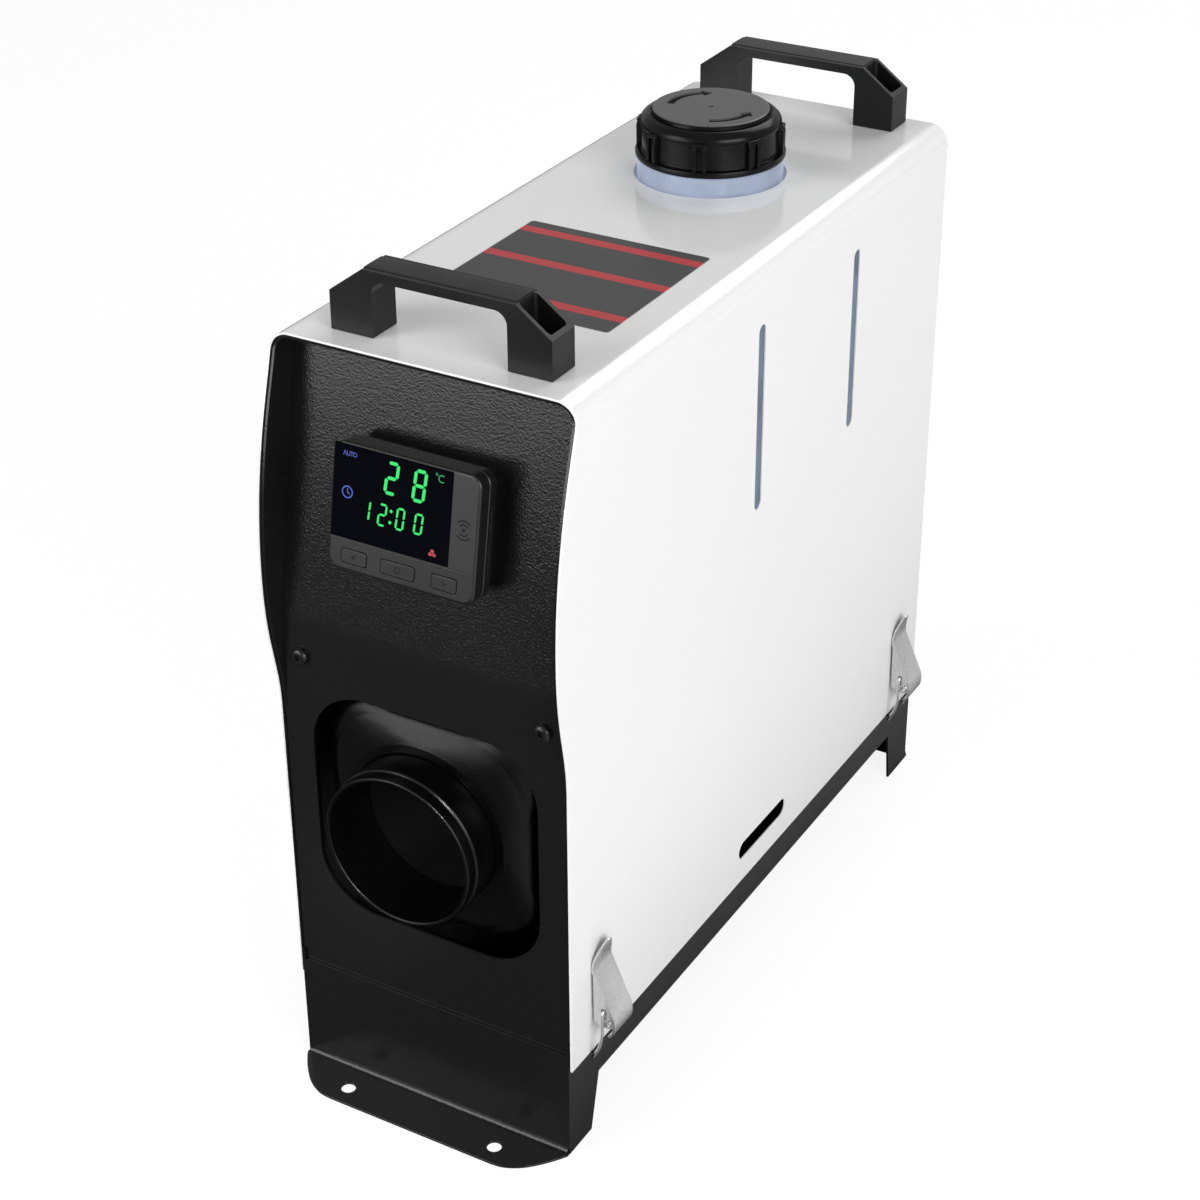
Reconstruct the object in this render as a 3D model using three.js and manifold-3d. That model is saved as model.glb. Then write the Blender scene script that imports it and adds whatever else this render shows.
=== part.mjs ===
// Portable diesel air heater in a sheet-steel box: fuel tank above, air heater below, bolt-down tray.
// Millimetres, +Z up. The origin is on the ground at the middle of the box, and the outlet faces -Y.

import * as THREE from "three";
import { mergeVertices } from "three/addons/utils/BufferGeometryUtils.js";
import Module from "manifold-3d";

const wasm = await Module();
wasm.setup();

// -----------------------------------------------------------------------------------------------
// Driving dimensions
// -----------------------------------------------------------------------------------------------

const FIT = 0.3; // gap between pieces that touch
const SHEET = 1.2; // steel sheet of cover, tray, panels and shelf
const SLIVER = 0.005; // edges shorter than this are closed up where cuts meet

// Cover
const COVER_WIDTH = 150;
const COVER_TOP = 379; // outer top face above the ground
const COVER_BOTTOM = 49; // lower edge above the ground
const BODY_DEPTH = 378; // front wall of the tray to its rear wall
const COVER_CORNER_RADIUS = 10;
const COVER_EDGE_SETBACK = 0.3; // front edge behind the tray's front wall
const COVER_TOP_SETBACK = 11.4; // front edge of the top face behind the same wall
const WING_BULGE = 7.3; // swell of the side edges in front of their straight lower part
const WING_FOOT_DROP = 44; // start of the swell below the panel's fold
const WING_PEAK_RISE = 24; // fullest point of the swell above the panel's fold
const SIGHT_SLOT_WIDTH = 7;
const SIGHT_SLOT_HEIGHT = 93;
const SIGHT_SLOT_DROP = 29; // slot's upper end below the cover's top
const SIGHT_SLOT_FROM_REAR = 104.5; // rear slot's middle to the rear edge
const SIGHT_SLOT_SPACING = 99.5;
const VENT_SLOT_LENGTH = 51;
const VENT_SLOT_HEIGHT = 9.6;
const VENT_SLOT_RISE = 17.7; // slot's middle above the cover's lower edge
const VENT_SLOT_FROM_MIDDLE = 1; // slot's middle behind the middle of the box

// Tray
const GROUND_CLEARANCE = 30; // underside of the tray's floor
const TRAY_WALL_HEIGHT = 57;
const RAIL_OVERLAP = 14; // side rails above the cover's lower edge
const CHEEK_DEPTH = 27;
const FRONT_CHEEK_FOOT = 20;
const REAR_CHEEK_FOOT = 23;
const FLANGE_REACH = 24;
const FLANGE_CORNER_WIDTH = 27; // the flange narrows by this on each side
const BOLT_HOLE_DIAMETER = 7;
const BOLT_HOLE_SPACING = 82;
const BOLT_HOLE_REACH = 14; // hole's middle in front of the wall

// Front and back panels
const PANEL_LEAN = 10.3; // degrees
const OUTLET_WIDTH = 117.6;
const OUTLET_HEIGHT = 116.6;
const OUTLET_CORNER_RADIUS = 29.5;
const OUTLET_DROP = 2.3; // middle of the opening below the heater's axis
const PANEL_SCREW_INSET = 12.5; // middle in from the cover's side
const PANEL_SCREW_RISE = 5.2; // above the tank shelf
const FOLD_RISE = 15; // fold above the screws
const LINER_SETBACK = 0.8; // liner flange behind the cover's front edge
const INTAKE_SLOTS = 7;
const INTAKE_SLOT_WIDTH = 84;
const INTAKE_SLOT_HEIGHT = 6;
const INTAKE_SLOT_PITCH = 12;

// Screws
const PANEL_SCREW_DIAMETER = 4;
const PANEL_SCREW_LENGTH = 12;
const PANEL_SCREW_HEAD_DIAMETER = 8.4;
const PANEL_SCREW_HEAD_HEIGHT = 2.6;
const HANDLE_SCREW_DIAMETER = 4.6;
const HANDLE_SCREW_LENGTH = 13;
const HANDLE_SCREW_HEAD_DIAMETER = 8;
const HANDLE_SCREW_HEAD_HEIGHT = 3;
const DRIVE_DIAMETER = 3;
const DRIVE_DEPTH = 1.5;

// Handles
const HANDLE_LENGTH = 107.4;
const HANDLE_DEPTH = 17.6;
const HANDLE_HEIGHT = 30.5;
const HANDLE_POST = 21;
const HANDLE_BAR = 5;
const HANDLE_INNER_RADIUS = 6;
const HANDLE_CHAMFER_RUN = 16.8;
const HANDLE_CHAMFER_DROP = 13;
const HANDLE_POCKET_WALL = 2;
const HANDLE_POCKET_FLOOR = 3;
const FRONT_HANDLE_SETBACK = 32.7; // middle behind the front wall
const FRONT_HANDLE_OFFSET = 2.4; // middle to the right of the box's middle
const REAR_HANDLE_SETBACK = 14; // middle in front of the rear wall

// Label
const LABEL_WIDTH = 91.8;
const LABEL_DEPTH = 91.2;
const LABEL_SETBACK = 76.6;
const LABEL_OFFSET = 5.3; // middle to the right of the box's middle
const LABEL_THICKNESS = 0.3;
const LABEL_BED = 0.05;

// Heater
const HEATER_LIFT = 70.5; // top of the heater bracket above the tray's floor
const BRACKET_PLATE = 2;
const BRACKET_INSET = 4; // each side within the casing's width
const BRACKET_FOOT = 12;
const BRACKET_FRONT_MARGIN = 26; // in front of the exchanger's foot
const BRACKET_REAR_MARGIN = 19;
const CASING_SIZE = 112;
const CASING_CORNER_RADIUS = 28;
const CASING_WALL = 2.5;
const HEATER_REAR_GAP = 67.2; // casing's rear end in front of the rear wall
const NOSE_DEPTH = 20.5;
const DUCT_DIAMETER = 75;
const DUCT_WALL = 2;
const DUCT_REACH = 22; // outlet ring in front of the tray's front wall
const DUCT_INSERT = 9;
const DUCT_BEAD = 0.8;
const EXCHANGER_SETBACK = 28; // fingers behind the nose
const EXCHANGER_CORE_DIAMETER = 78;
const EXCHANGER_BORE = 68;
const EXCHANGER_FIN_CLEARANCE = 1.2;
const EXCHANGER_FINS = 20;
const FIN_THICKNESS = 2.6;
const FINGER_LENGTH = 16;
const FINGER_WIDTH = 4.2;
const FINGER_PITCH = 8.6;
const FINGER_HUB_DIAMETER = 34;
const FOOT_WIDTH = 44;
const FOOT_FRONT_MARGIN = 18; // in front of the exhaust's middle
const FOOT_REAR_MARGIN = 24; // behind the fuel inlet
const BURNER_DIAMETER = 50;
const BURNER_WALL = 1.6;
const BURNER_SETBACK = 31; // behind the front of the exchanger's drum
const BURNER_FLANGE_DIAMETER = 74;
const BURNER_FLANGE = 4;
const GLOW_PLUG_OFFSET = 16;
const GLOW_PLUG_ROD = 4.4;
const GLOW_PLUG_LENGTH = 24;
const GLOW_PLUG_HEX = 10;
const GLOW_PLUG_HEAD = 4.2;
const IMPELLER_GAP = 8;
const IMPELLER_DIAMETER = 60;
const IMPELLER_DEPTH = 8;
const IMPELLER_BLADES = 10;
const SHAFT_DIAMETER = 6;
const MOTOR_GAP = 5;
const MOTOR_DIAMETER = 44;
const MOTOR_LENGTH = 35;
const MOTOR_ARM = 8;
const BLOWER_GAP = 6;
const BLOWER_DIAMETER = 98;
const BLOWER_HUB_DIAMETER = 30;
const BLOWER_DEPTH = 13;
const BLOWER_BLADES = 7;
const BLOWER_RECESS = 6; // inside the casing's rear end
const GRILLE_THICKNESS = 4;
const GRILLE_BARS = 5;
const GRILLE_BAR = 3;
const BOARD_WIDTH = 48;
const BOARD_LENGTH = 46;
const BOARD_THICKNESS = 1.6;
const BOARD_DROP = 6.5; // below the casing's inner top
const BOARD_POST_DIAMETER = 5;
const BOARD_POST_INSET = 4;
const CHIP_SIZE = 14;
const CHIP_HEIGHT = 2;
const CAPACITOR_DIAMETER = 8;
const CAPACITOR_HEIGHT = 7;
const EXHAUST_DIAMETER = 24;
const COMBUSTION_AIR_DIAMETER = 22;
const COMBUSTION_AIR_FROM_REAR = 75.5; // in front of the exchanger's rear end
const PIPE_SPACING = 36;
const PIPE_WALL = 1.5;
const PIPE_GROUND_GAP = 10;
const FUEL_INLET_GAP = 11; // behind the combustion-air pipe

// Fuel system
const SHELF_CLEARANCE = 7.6; // above the heater casing
const SHELF_UPSTAND = 14;
const TANK_SIDE_GAP = 3;
const TANK_FRONT_GAP = 18;
const TANK_REAR_GAP = 24;
const TANK_HEADROOM = 5.8;
const TANK_WALL = 3;
const TANK_RADIUS = 12;
const FILLER_FROM_REAR = 113.5;
const FILLER_HOLE_DIAMETER = 73;
const NECK_DIAMETER = 70;
const NECK_RISE = 8.7; // collar above the cover
const THREAD_DIAMETER = 62;
const THREAD_LENGTH = 16.3;
const FILLER_BORE = 56;
const CAP_DIAMETER = 72;
const CAP_SKIRT_DIAMETER = 67;
const CAP_TOP_DIAMETER = 56;
const CAP_HEIGHT = 23;
const CAP_RIM = 3;
const CAP_CROWN = 4; // thickness of the cap's top
const CAP_RIBS = 8;
const CAP_RIB_WIDTH = 7;
const CAP_RIB_TURN = 3.6; // degrees, clockwise from above
const CAP_ARROW_DEPTH = 0.6;
const CAP_ARROWS = [
  { tail: 197, turn: -82 }, // degrees round the cap from its right side
  { tail: -65, turn: 71 },
];
const SEAL_DIAMETER = 60;
const SEAL_THICKNESS = 2.4;
const NIPPLE_DIAMETER = 5;
const NIPPLE_BORE = 2.4;
const NIPPLE_LENGTH = 14;
const HOSE_DIAMETER = 9;
const HOSE_STRAIGHT = 4; // straight stretch past the tip of a nipple
const TANK_OUTLET_X = 30;
const TANK_OUTLET_FROM_REAR = 43;
const PUMP_DIAMETER = 26;
const PUMP_LENGTH = 80;
const PUMP_FROM_REAR = 80;
const PUMP_HEIGHT = 31; // axis above the tray's floor
const CLAMP_THICKNESS = 3;
const CLAMP_WIDTH = 22;

// Wiring
const GLAND_INSET = 30; // middle in from the cover's left side
const GLAND_HEIGHT = 75;
const GLAND_DIAMETER = 20;
const GLAND_LENGTH = 16;
const LOOM_DIAMETER = 7;

// Controller, in the frame of the leaning panel
const CONTROLLER_WIDTH = 73;
const CONTROLLER_HEIGHT = 56.7;
const CONTROLLER_DEPTH = 12.5;
const CONTROLLER_RADIUS = 6;
const CONTROLLER_BEVEL = 1.4;
const CRADLE_DEPTH = 5.5;
const CRADLE_INSET = 3;
const CRADLE_TAB_WIDTH = 8.5;
const CRADLE_TAB_DROP = 2.5;
const CRADLE_TAB_OFFSET = 12.3; // middle to the right of the controller's middle
const SCREEN_WIDTH = 58.4;
const SCREEN_HEIGHT = 41;
const SCREEN_MARGIN = 1.1;
const SCREEN_THICKNESS = 1;
const BUTTON_HEIGHT = 6.2;
const BUTTON_RISE = 6.9; // middle above the housing's lower edge
const BUTTON_DEPTH = 2.4;
const BUTTON_PROUD = 0.35;
const BUTTON_TRAVEL = 0.8;
const BUTTONS = [
  { name: "button_down", x: -23.1, width: 12.6 },
  { name: "button_power", x: -1.2, width: 16.8 },
  { name: "button_up", x: 21.7, width: 12.2 },
];

// Toggle latches, measured from the cover's side face and its lower edge
const LATCH_FRONT_SETBACK = 25.8;
const LATCH_REAR_SETBACK = 26.2;
const LATCH_WIDTH = 16.5;
const LATCH_SHEET = 1;
const PIVOT = { x: 8.8, z: 19.6 };
const PIVOT_DIAMETER = 3;
const EYE = { x: 6.5, z: 25.7 };
const EAR_RADIUS = 2.2;
const LEVER_TIP = { x: 5.2, z: 60 };
const LEVER_TIP_WIDTH = 4;
const WIRE_DIAMETER = 1.5;
const BAIL_PLAY = 0.9;
const KEEPER_REACH = 4.1;
const KEEPER_WIDTH = 15;

// -----------------------------------------------------------------------------------------------
// Levels and planes that follow from them
// -----------------------------------------------------------------------------------------------

const FRONT = -BODY_DEPTH / 2;
const REAR = BODY_DEPTH / 2;
const coverHalf = COVER_WIDTH / 2;
const linerHalf = coverHalf - SHEET - FIT;
const railInner = linerHalf - SHEET;
const trayFloorTop = GROUND_CLEARANCE + SHEET;
const railTop = COVER_BOTTOM + RAIL_OVERLAP;
const panelFace = FRONT + SHEET + FIT;
const backPanelInner = REAR - SHEET - FIT - SHEET;
const casingHalf = CASING_SIZE / 2;
const casingInner = casingHalf - CASING_WALL;
const bracketTop = trayFloorTop + HEATER_LIFT;
const heaterAxis = bracketTop + FIT + casingHalf;
const shelfUnder = heaterAxis + casingHalf + SHELF_CLEARANCE;
const shelfTop = shelfUnder + SHEET;
const panelScrewZ = shelfTop + PANEL_SCREW_RISE;
const foldZ = panelScrewZ + FOLD_RISE;
const lean = THREE.MathUtils.degToRad(PANEL_LEAN);
const panelTop = COVER_TOP - SHEET - FIT;
const noseRear = FRONT + NOSE_DEPTH;
const casingFront = noseRear + FIT;
const casingRear = REAR - HEATER_REAR_GAP;
const blowerRear = casingRear - BLOWER_RECESS;
const blowerFront = blowerRear - BLOWER_DEPTH;
const motorRear = blowerFront - BLOWER_GAP;
const motorFront = motorRear - MOTOR_LENGTH;
const impellerFront = motorFront - MOTOR_GAP - IMPELLER_DEPTH;
const burnerFlangeRear = impellerFront - IMPELLER_GAP;
const burnerFlangeFront = burnerFlangeRear - BURNER_FLANGE;
const exchangerRear = burnerFlangeFront - FIT;
const exchangerFront = noseRear + EXCHANGER_SETBACK;
const footBottom = bracketTop + FIT;
const tankBottom = shelfTop + FIT;
const tankTop = COVER_TOP - SHEET - TANK_HEADROOM;
const tankHalf = railInner - TANK_SIDE_GAP;
const tankFront = panelFace + SHEET + (tankTop - foldZ) * Math.tan(lean) + TANK_FRONT_GAP;
const tankRear = backPanelInner - TANK_REAR_GAP;
const fillerY = REAR - FILLER_FROM_REAR;
const collarTop = COVER_TOP + NECK_RISE;
const capBottom = collarTop + FIT;
const capCeiling = capBottom + CAP_HEIGHT - CAP_CROWN;
const nippleTipZ = shelfUnder - NIPPLE_LENGTH;
const tankOutletY = REAR - TANK_OUTLET_FROM_REAR;
const pumpRear = REAR - PUMP_FROM_REAR;
const pumpFront = pumpRear - PUMP_LENGTH;
const pumpZ = trayFloorTop + PUMP_HEIGHT;
const combustionAirY = exchangerRear - COMBUSTION_AIR_FROM_REAR;
const exhaustY = combustionAirY - PIPE_SPACING;
const fuelInletY = combustionAirY + COMBUSTION_AIR_DIAMETER / 2 + FUEL_INLET_GAP;
const footFront = exhaustY - FOOT_FRONT_MARGIN;
const footRear = fuelInletY + FOOT_REAR_MARGIN;
const handleScrewX = HANDLE_LENGTH / 2 - HANDLE_POCKET_WALL - (HANDLE_CHAMFER_RUN - HANDLE_POCKET_WALL) / 2;
const glandX = coverHalf - GLAND_INSET;
const keeperUnder = COVER_BOTTOM - FIT - SHEET;

// -----------------------------------------------------------------------------------------------
// Shapes
// -----------------------------------------------------------------------------------------------

const X_AXIS = new THREE.Vector3(1, 0, 0);
const Y_AXIS = new THREE.Vector3(0, 1, 0);
const Z_AXIS = new THREE.Vector3(0, 0, 1);

/** Closed outline through [a, b] points. */
function outline(points) {
  return new THREE.Shape(points.map(([a, b]) => new THREE.Vector2(a, b)));
}

/** Rectangle with round corners around a middle point. */
function roundedRectangle(a, b, width, height, radius) {
  const x = width / 2 - radius;
  const y = height / 2 - radius;
  const quarter = Math.PI / 2;
  const shape = new THREE.Shape();
  shape.absarc(a + x, b - y, radius, -quarter, 0);
  shape.absarc(a + x, b + y, radius, 0, quarter);
  shape.absarc(a - x, b + y, radius, quarter, 2 * quarter);
  shape.absarc(a - x, b - y, radius, 2 * quarter, 3 * quarter);
  shape.closePath();
  return shape;
}

/** Outline of bent sheet: a bend line and its copy one thickness to its left. */
function strip(points, thickness) {
  const line = points.map(([a, b]) => new THREE.Vector2(a, b));
  const normals = line.slice(1).map((p, i) => {
    const run = p.clone().sub(line[i]).normalize();
    return new THREE.Vector2(-run.y, run.x);
  });
  const offset = line.map((p, i) => {
    const before = normals[Math.max(i - 1, 0)];
    const after = normals[Math.min(i, normals.length - 1)];
    const mitre = before.clone().add(after);
    mitre.multiplyScalar((2 * thickness) / mitre.lengthSq());
    return p.clone().add(mitre);
  });
  return new THREE.Shape([...line, ...offset.reverse()]);
}

/** Manifold solid of a closed three.js geometry, whichever way its profile was drawn. */
function solidOf(geometry) {
  const bare = geometry.clone();
  bare.deleteAttribute("normal");
  bare.deleteAttribute("uv");
  const merged = mergeVertices(bare, 1e-4);
  const at = merged.attributes.position;
  const corners = [0, 1, 2].map(() => new THREE.Vector3());
  let triangles = [];
  let volume = 0;
  for (let i = 0; i < merged.index.count; i += 3) {
    const triangle = [0, 1, 2].map((k) => merged.index.getX(i + k));
    if (new Set(triangle).size < 3) {
      continue;
    }
    triangle.forEach((vertex, k) => corners[k].fromBufferAttribute(at, vertex));
    volume += corners[0].dot(corners[1].clone().cross(corners[2]));
    triangles.push(triangle);
  }
  if (volume < 0) {
    triangles = triangles.map(([a, b, c]) => [a, c, b]);
  }
  const mesh = new wasm.Mesh({
    numProp: 3,
    vertProperties: Float32Array.from(at.array),
    triVerts: Uint32Array.from(triangles.flat()),
  });
  return new wasm.Manifold(mesh);
}

function join(first, ...others) {
  return others.reduce((sum, other) => sum.add(other), first);
}

function cut(first, ...others) {
  return others.reduce((rest, other) => rest.subtract(other), first);
}

/** Prism along X of a (y, z) outline, along Y of an (x, z) outline, or along Z of an (x, y) outline. */
function prism(axis, shape, from, to, curveSegments = 6) {
  const geometry = new THREE.ExtrudeGeometry(shape, { depth: to - from, bevelEnabled: false, curveSegments });
  if (axis === "x") {
    geometry.applyMatrix4(new THREE.Matrix4().makeBasis(Y_AXIS, Z_AXIS, X_AXIS));
    geometry.translate(from, 0, 0);
  } else if (axis === "y") {
    geometry.applyMatrix4(new THREE.Matrix4().makeBasis(X_AXIS, Z_AXIS, Y_AXIS.clone().negate()));
    geometry.translate(0, to, 0);
  } else {
    geometry.translate(0, 0, from);
  }
  return solidOf(geometry);
}

/** Block between two planes on each axis. */
function box(x0, x1, y0, y1, z0, z1) {
  const geometry = new THREE.BoxGeometry(x1 - x0, y1 - y0, z1 - z0);
  geometry.translate((x0 + x1) / 2, (y0 + y1) / 2, (z0 + z1) / 2);
  return solidOf(geometry);
}

/** Turned piece about a line parallel to Y or Z; the profile runs [radius, distance along the line]. */
function turned(axis, [x, y, z], profile, segments = 24) {
  const geometry = new THREE.LatheGeometry(
    profile.map(([radius, along]) => new THREE.Vector2(radius, along)),
    segments,
  );
  if (axis === "z") {
    geometry.rotateX(Math.PI / 2);
  }
  geometry.translate(x, y, z);
  return solidOf(geometry);
}

/** Round bar or bore between two places on a line parallel to Y or Z. */
function rod(axis, at, diameter, from, to, segments = 24) {
  const radius = diameter / 2;
  const profile = [
    [0, from],
    [radius, from],
    [radius, to],
    [0, to],
  ];
  return turned(axis, at, profile, segments);
}

/** Block with all its edges round. */
function roundedBox([x0, x1], [y0, y1], [z0, z1], radius) {
  const width = x1 - x0 - 2 * radius;
  const depth = y1 - y0 - 2 * radius;
  const corner = 0.2;
  const shape = roundedRectangle((x0 + x1) / 2, (y0 + y1) / 2, width, depth, corner);
  const geometry = new THREE.ExtrudeGeometry(shape, {
    depth: z1 - z0 - 2 * radius,
    bevelThickness: radius,
    bevelSize: radius,
    bevelSegments: 3,
    curveSegments: 1,
  });
  geometry.translate(0, 0, z0 + radius);
  return solidOf(geometry);
}

/** Closed skin over square sections with round corners, from front to rear: [y, half size, corner radius]. */
function squareLoft(sections, centreZ, cornerSteps = 4) {
  const positions = [];
  const index = [];
  const perRing = 4 * (cornerSteps + 1);
  for (const [y, half, radius] of sections) {
    for (let k = 0; k < perRing; k += 1) {
      const corner = Math.floor(k / (cornerSteps + 1));
      const step = k % (cornerSteps + 1);
      const angle = (corner + step / cornerSteps) * (Math.PI / 2);
      const middle = (corner + 0.5) * (Math.PI / 2);
      const x = Math.sign(Math.cos(middle)) * (half - radius) + radius * Math.cos(angle);
      const z = Math.sign(Math.sin(middle)) * (half - radius) + radius * Math.sin(angle);
      positions.push(x, y, centreZ + z);
    }
  }
  for (let ring = 0; ring + 1 < sections.length; ring += 1) {
    for (let k = 0; k < perRing; k += 1) {
      const a = ring * perRing + k;
      const b = ring * perRing + ((k + 1) % perRing);
      index.push(a, b, a + perRing, b, b + perRing, a + perRing);
    }
  }
  const lastRing = (sections.length - 1) * perRing;
  for (let k = 1; k + 1 < perRing; k += 1) {
    index.push(0, k + 1, k);
    index.push(lastRing, lastRing + k, lastRing + k + 1);
  }
  const geometry = new THREE.BufferGeometry();
  geometry.setAttribute("position", new THREE.Float32BufferAttribute(positions, 3));
  geometry.setIndex(index);
  return solidOf(geometry);
}

/** Round tube or wire through chosen points. */
function tube(points, diameter, sides, steps, bore = 0) {
  const route = new THREE.CatmullRomCurve3(
    points.map((p) => new THREE.Vector3(...p)),
    false,
    "centripetal",
  );
  const ring = (radius, turn) =>
    Array.from({ length: sides }, (_, k) => {
      const angle = (turn * 2 * Math.PI * k) / sides;
      return new THREE.Vector2(radius * Math.cos(angle), radius * Math.sin(angle));
    });
  const section = new THREE.Shape(ring(diameter / 2, 1));
  if (bore > 0) {
    section.holes.push(new THREE.Path(ring(bore / 2 / Math.cos(Math.PI / sides), -1)));
  }
  return solidOf(new THREE.ExtrudeGeometry(section, { steps, extrudePath: route, bevelEnabled: false }));
}

/** Copies of a radial piece around an axis parallel to Y at the height of the heater's axis. */
function aroundHeaterAxis(count, makeGeometry, firstAngle = 0) {
  return Array.from({ length: count }, (_, k) => {
    const geometry = makeGeometry();
    geometry.rotateY(firstAngle + (2 * Math.PI * k) / count);
    geometry.translate(0, 0, heaterAxis);
    return solidOf(geometry);
  });
}

// -----------------------------------------------------------------------------------------------
// Finishes and the scene graph
// -----------------------------------------------------------------------------------------------

const finishes = {
  whitePaint: { color: 0xf2f2f2, roughness: 0.28, metalness: 0 },
  blackPowder: { color: 0x101010, roughness: 0.5, metalness: 0 },
  blackPlastic: { color: 0x0d0d0d, roughness: 0.45, metalness: 0 },
  greyPlastic: { color: 0x232325, roughness: 0.5, metalness: 0 },
  screenGlass: { color: 0x05060a, roughness: 0.08, metalness: 0 },
  label: { color: 0x2b2b2c, roughness: 0.55, metalness: 0 },
  tankPlastic: { color: 0xc9d6ee, roughness: 0.4, metalness: 0 },
  rubber: { color: 0x141414, roughness: 0.8, metalness: 0 },
  castAluminium: { color: 0xb9bcc0, roughness: 0.45, metalness: 1 },
  brightSteel: { color: 0xd4d4d6, roughness: 0.22, metalness: 1 },
  blackSteel: { color: 0x161616, roughness: 0.4, metalness: 0.6 },
  galvanisedSteel: { color: 0x8d9194, roughness: 0.5, metalness: 1 },
  circuitBoard: { color: 0x1d4a2c, roughness: 0.5, metalness: 0 },
};

const heater = new THREE.Group();

function add(name, solid, finish, parent = heater) {
  const { vertProperties, triVerts } = solid.simplify(SLIVER).getMesh();
  const indexed = new THREE.BufferGeometry();
  indexed.setAttribute("position", new THREE.Float32BufferAttribute(vertProperties, 3));
  indexed.setIndex(Array.from(triVerts));
  const geometry = indexed.toNonIndexed();
  geometry.computeVertexNormals();
  const mesh = new THREE.Mesh(geometry, new THREE.MeshStandardMaterial(finishes[finish]));
  mesh.name = name;
  parent.add(mesh);
}

// -----------------------------------------------------------------------------------------------
// Sheet-metal body
// -----------------------------------------------------------------------------------------------

/** The cover's front edge seen from the side: points [y, z] from its foot to its top. */
function coverFrontEdge(shift = 0) {
  const straight = FRONT + COVER_EDGE_SETBACK + shift;
  const peak = straight - WING_BULGE;
  const top = FRONT + COVER_TOP_SETBACK + shift;
  const footZ = foldZ - WING_FOOT_DROP;
  const peakZ = foldZ + WING_PEAK_RISE;
  const topZ = COVER_TOP - COVER_CORNER_RADIUS / 2;
  const rise = (topZ - peakZ) / 10;
  const lower = new THREE.CubicBezierCurve(
    new THREE.Vector2(straight, footZ),
    new THREE.Vector2(straight, footZ + (peakZ - footZ) * 0.35),
    new THREE.Vector2(peak, peakZ - (peakZ - footZ) * 0.5),
    new THREE.Vector2(peak, peakZ),
  );
  const upper = new THREE.CubicBezierCurve(
    new THREE.Vector2(peak, peakZ),
    new THREE.Vector2(peak, peakZ + rise * 5.7),
    new THREE.Vector2(top, topZ - rise),
    new THREE.Vector2(top, topZ),
  );
  const points = [...lower.getPoints(5), ...upper.getPoints(8).slice(1)];
  return points.map((p) => [p.x, p.y]);
}

/** Arch outline of the cover, drawn in by an inset, from a lower edge up and over. */
function arch(inset, bottom) {
  const half = coverHalf - inset;
  const top = COVER_TOP - inset;
  const radius = Math.max(COVER_CORNER_RADIUS - inset, 0.5);
  const shape = new THREE.Shape();
  shape.moveTo(-half, bottom);
  shape.lineTo(half, bottom);
  shape.lineTo(half, top - radius);
  shape.absarc(half - radius, top - radius, radius, 0, Math.PI / 2);
  shape.lineTo(radius - half, top);
  shape.absarc(radius - half, top - radius, radius, Math.PI / 2, Math.PI);
  shape.closePath();
  return shape;
}

function makeCover() {
  const above = COVER_TOP + 10;
  const shell = cut(
    prism("y", arch(0, COVER_BOTTOM), FRONT - 2 * WING_BULGE, REAR, 4),
    prism("y", arch(SHEET, COVER_BOTTOM - SHEET), FRONT - 3 * WING_BULGE, REAR + SHEET, 4),
  );
  const edge = coverFrontEdge();
  const side = outline([
    [edge[0][0], COVER_BOTTOM - SHEET],
    ...edge,
    [edge[edge.length - 1][0], above],
    [REAR + 2 * SHEET, above],
    [REAR + 2 * SHEET, COVER_BOTTOM - SHEET],
  ]);
  const trimmed = shell.intersect(prism("x", side, -COVER_WIDTH, COVER_WIDTH));
  const slots = [];
  const slotZ = COVER_TOP - SIGHT_SLOT_DROP - SIGHT_SLOT_HEIGHT / 2;
  for (const fromRear of [SIGHT_SLOT_FROM_REAR, SIGHT_SLOT_FROM_REAR + SIGHT_SLOT_SPACING]) {
    const slot = roundedRectangle(
      REAR - fromRear,
      slotZ,
      SIGHT_SLOT_WIDTH,
      SIGHT_SLOT_HEIGHT,
      SIGHT_SLOT_WIDTH / 2,
    );
    slots.push(prism("x", slot, -COVER_WIDTH, COVER_WIDTH, 3));
  }
  const ventZ = COVER_BOTTOM + VENT_SLOT_RISE;
  const vent = roundedRectangle(
    VENT_SLOT_FROM_MIDDLE,
    ventZ,
    VENT_SLOT_LENGTH,
    VENT_SLOT_HEIGHT,
    VENT_SLOT_HEIGHT / 2,
  );
  slots.push(prism("x", vent, 0, COVER_WIDTH, 4));
  const filler = rod("z", [0, fillerY, 0], FILLER_HOLE_DIAMETER, tankTop, above, 36);
  const screwHoles = handlePlaces().flatMap(({ x, y }) =>
    [-1, 1].map((side) =>
      rod("z", [x + side * handleScrewX, y, 0], HANDLE_SCREW_DIAMETER + 2 * FIT, tankTop, above, 8),
    ),
  );
  return cut(trimmed, ...slots, filler, ...screwHoles);
}

/** Side rails leave the foot of both panels a little narrower. */
function railRoom() {
  const top = railTop + FIT;
  const inner = railInner - FIT;
  return [
    box(inner, coverHalf, FRONT, REAR, 0, top),
    box(-coverHalf, -inner, FRONT, REAR, 0, top),
    box(-coverHalf, coverHalf, FRONT, REAR, 0, trayFloorTop + FIT),
  ];
}

/** The vent slot in the cover goes through the tray's right rail too. */
function railSlot() {
  const slot = roundedRectangle(
    VENT_SLOT_FROM_MIDDLE,
    COVER_BOTTOM + VENT_SLOT_RISE,
    VENT_SLOT_LENGTH + 4,
    VENT_SLOT_HEIGHT + 4,
    VENT_SLOT_HEIGHT / 2 + 2,
  );
  return prism("x", slot, 0, COVER_WIDTH, 4);
}

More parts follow.
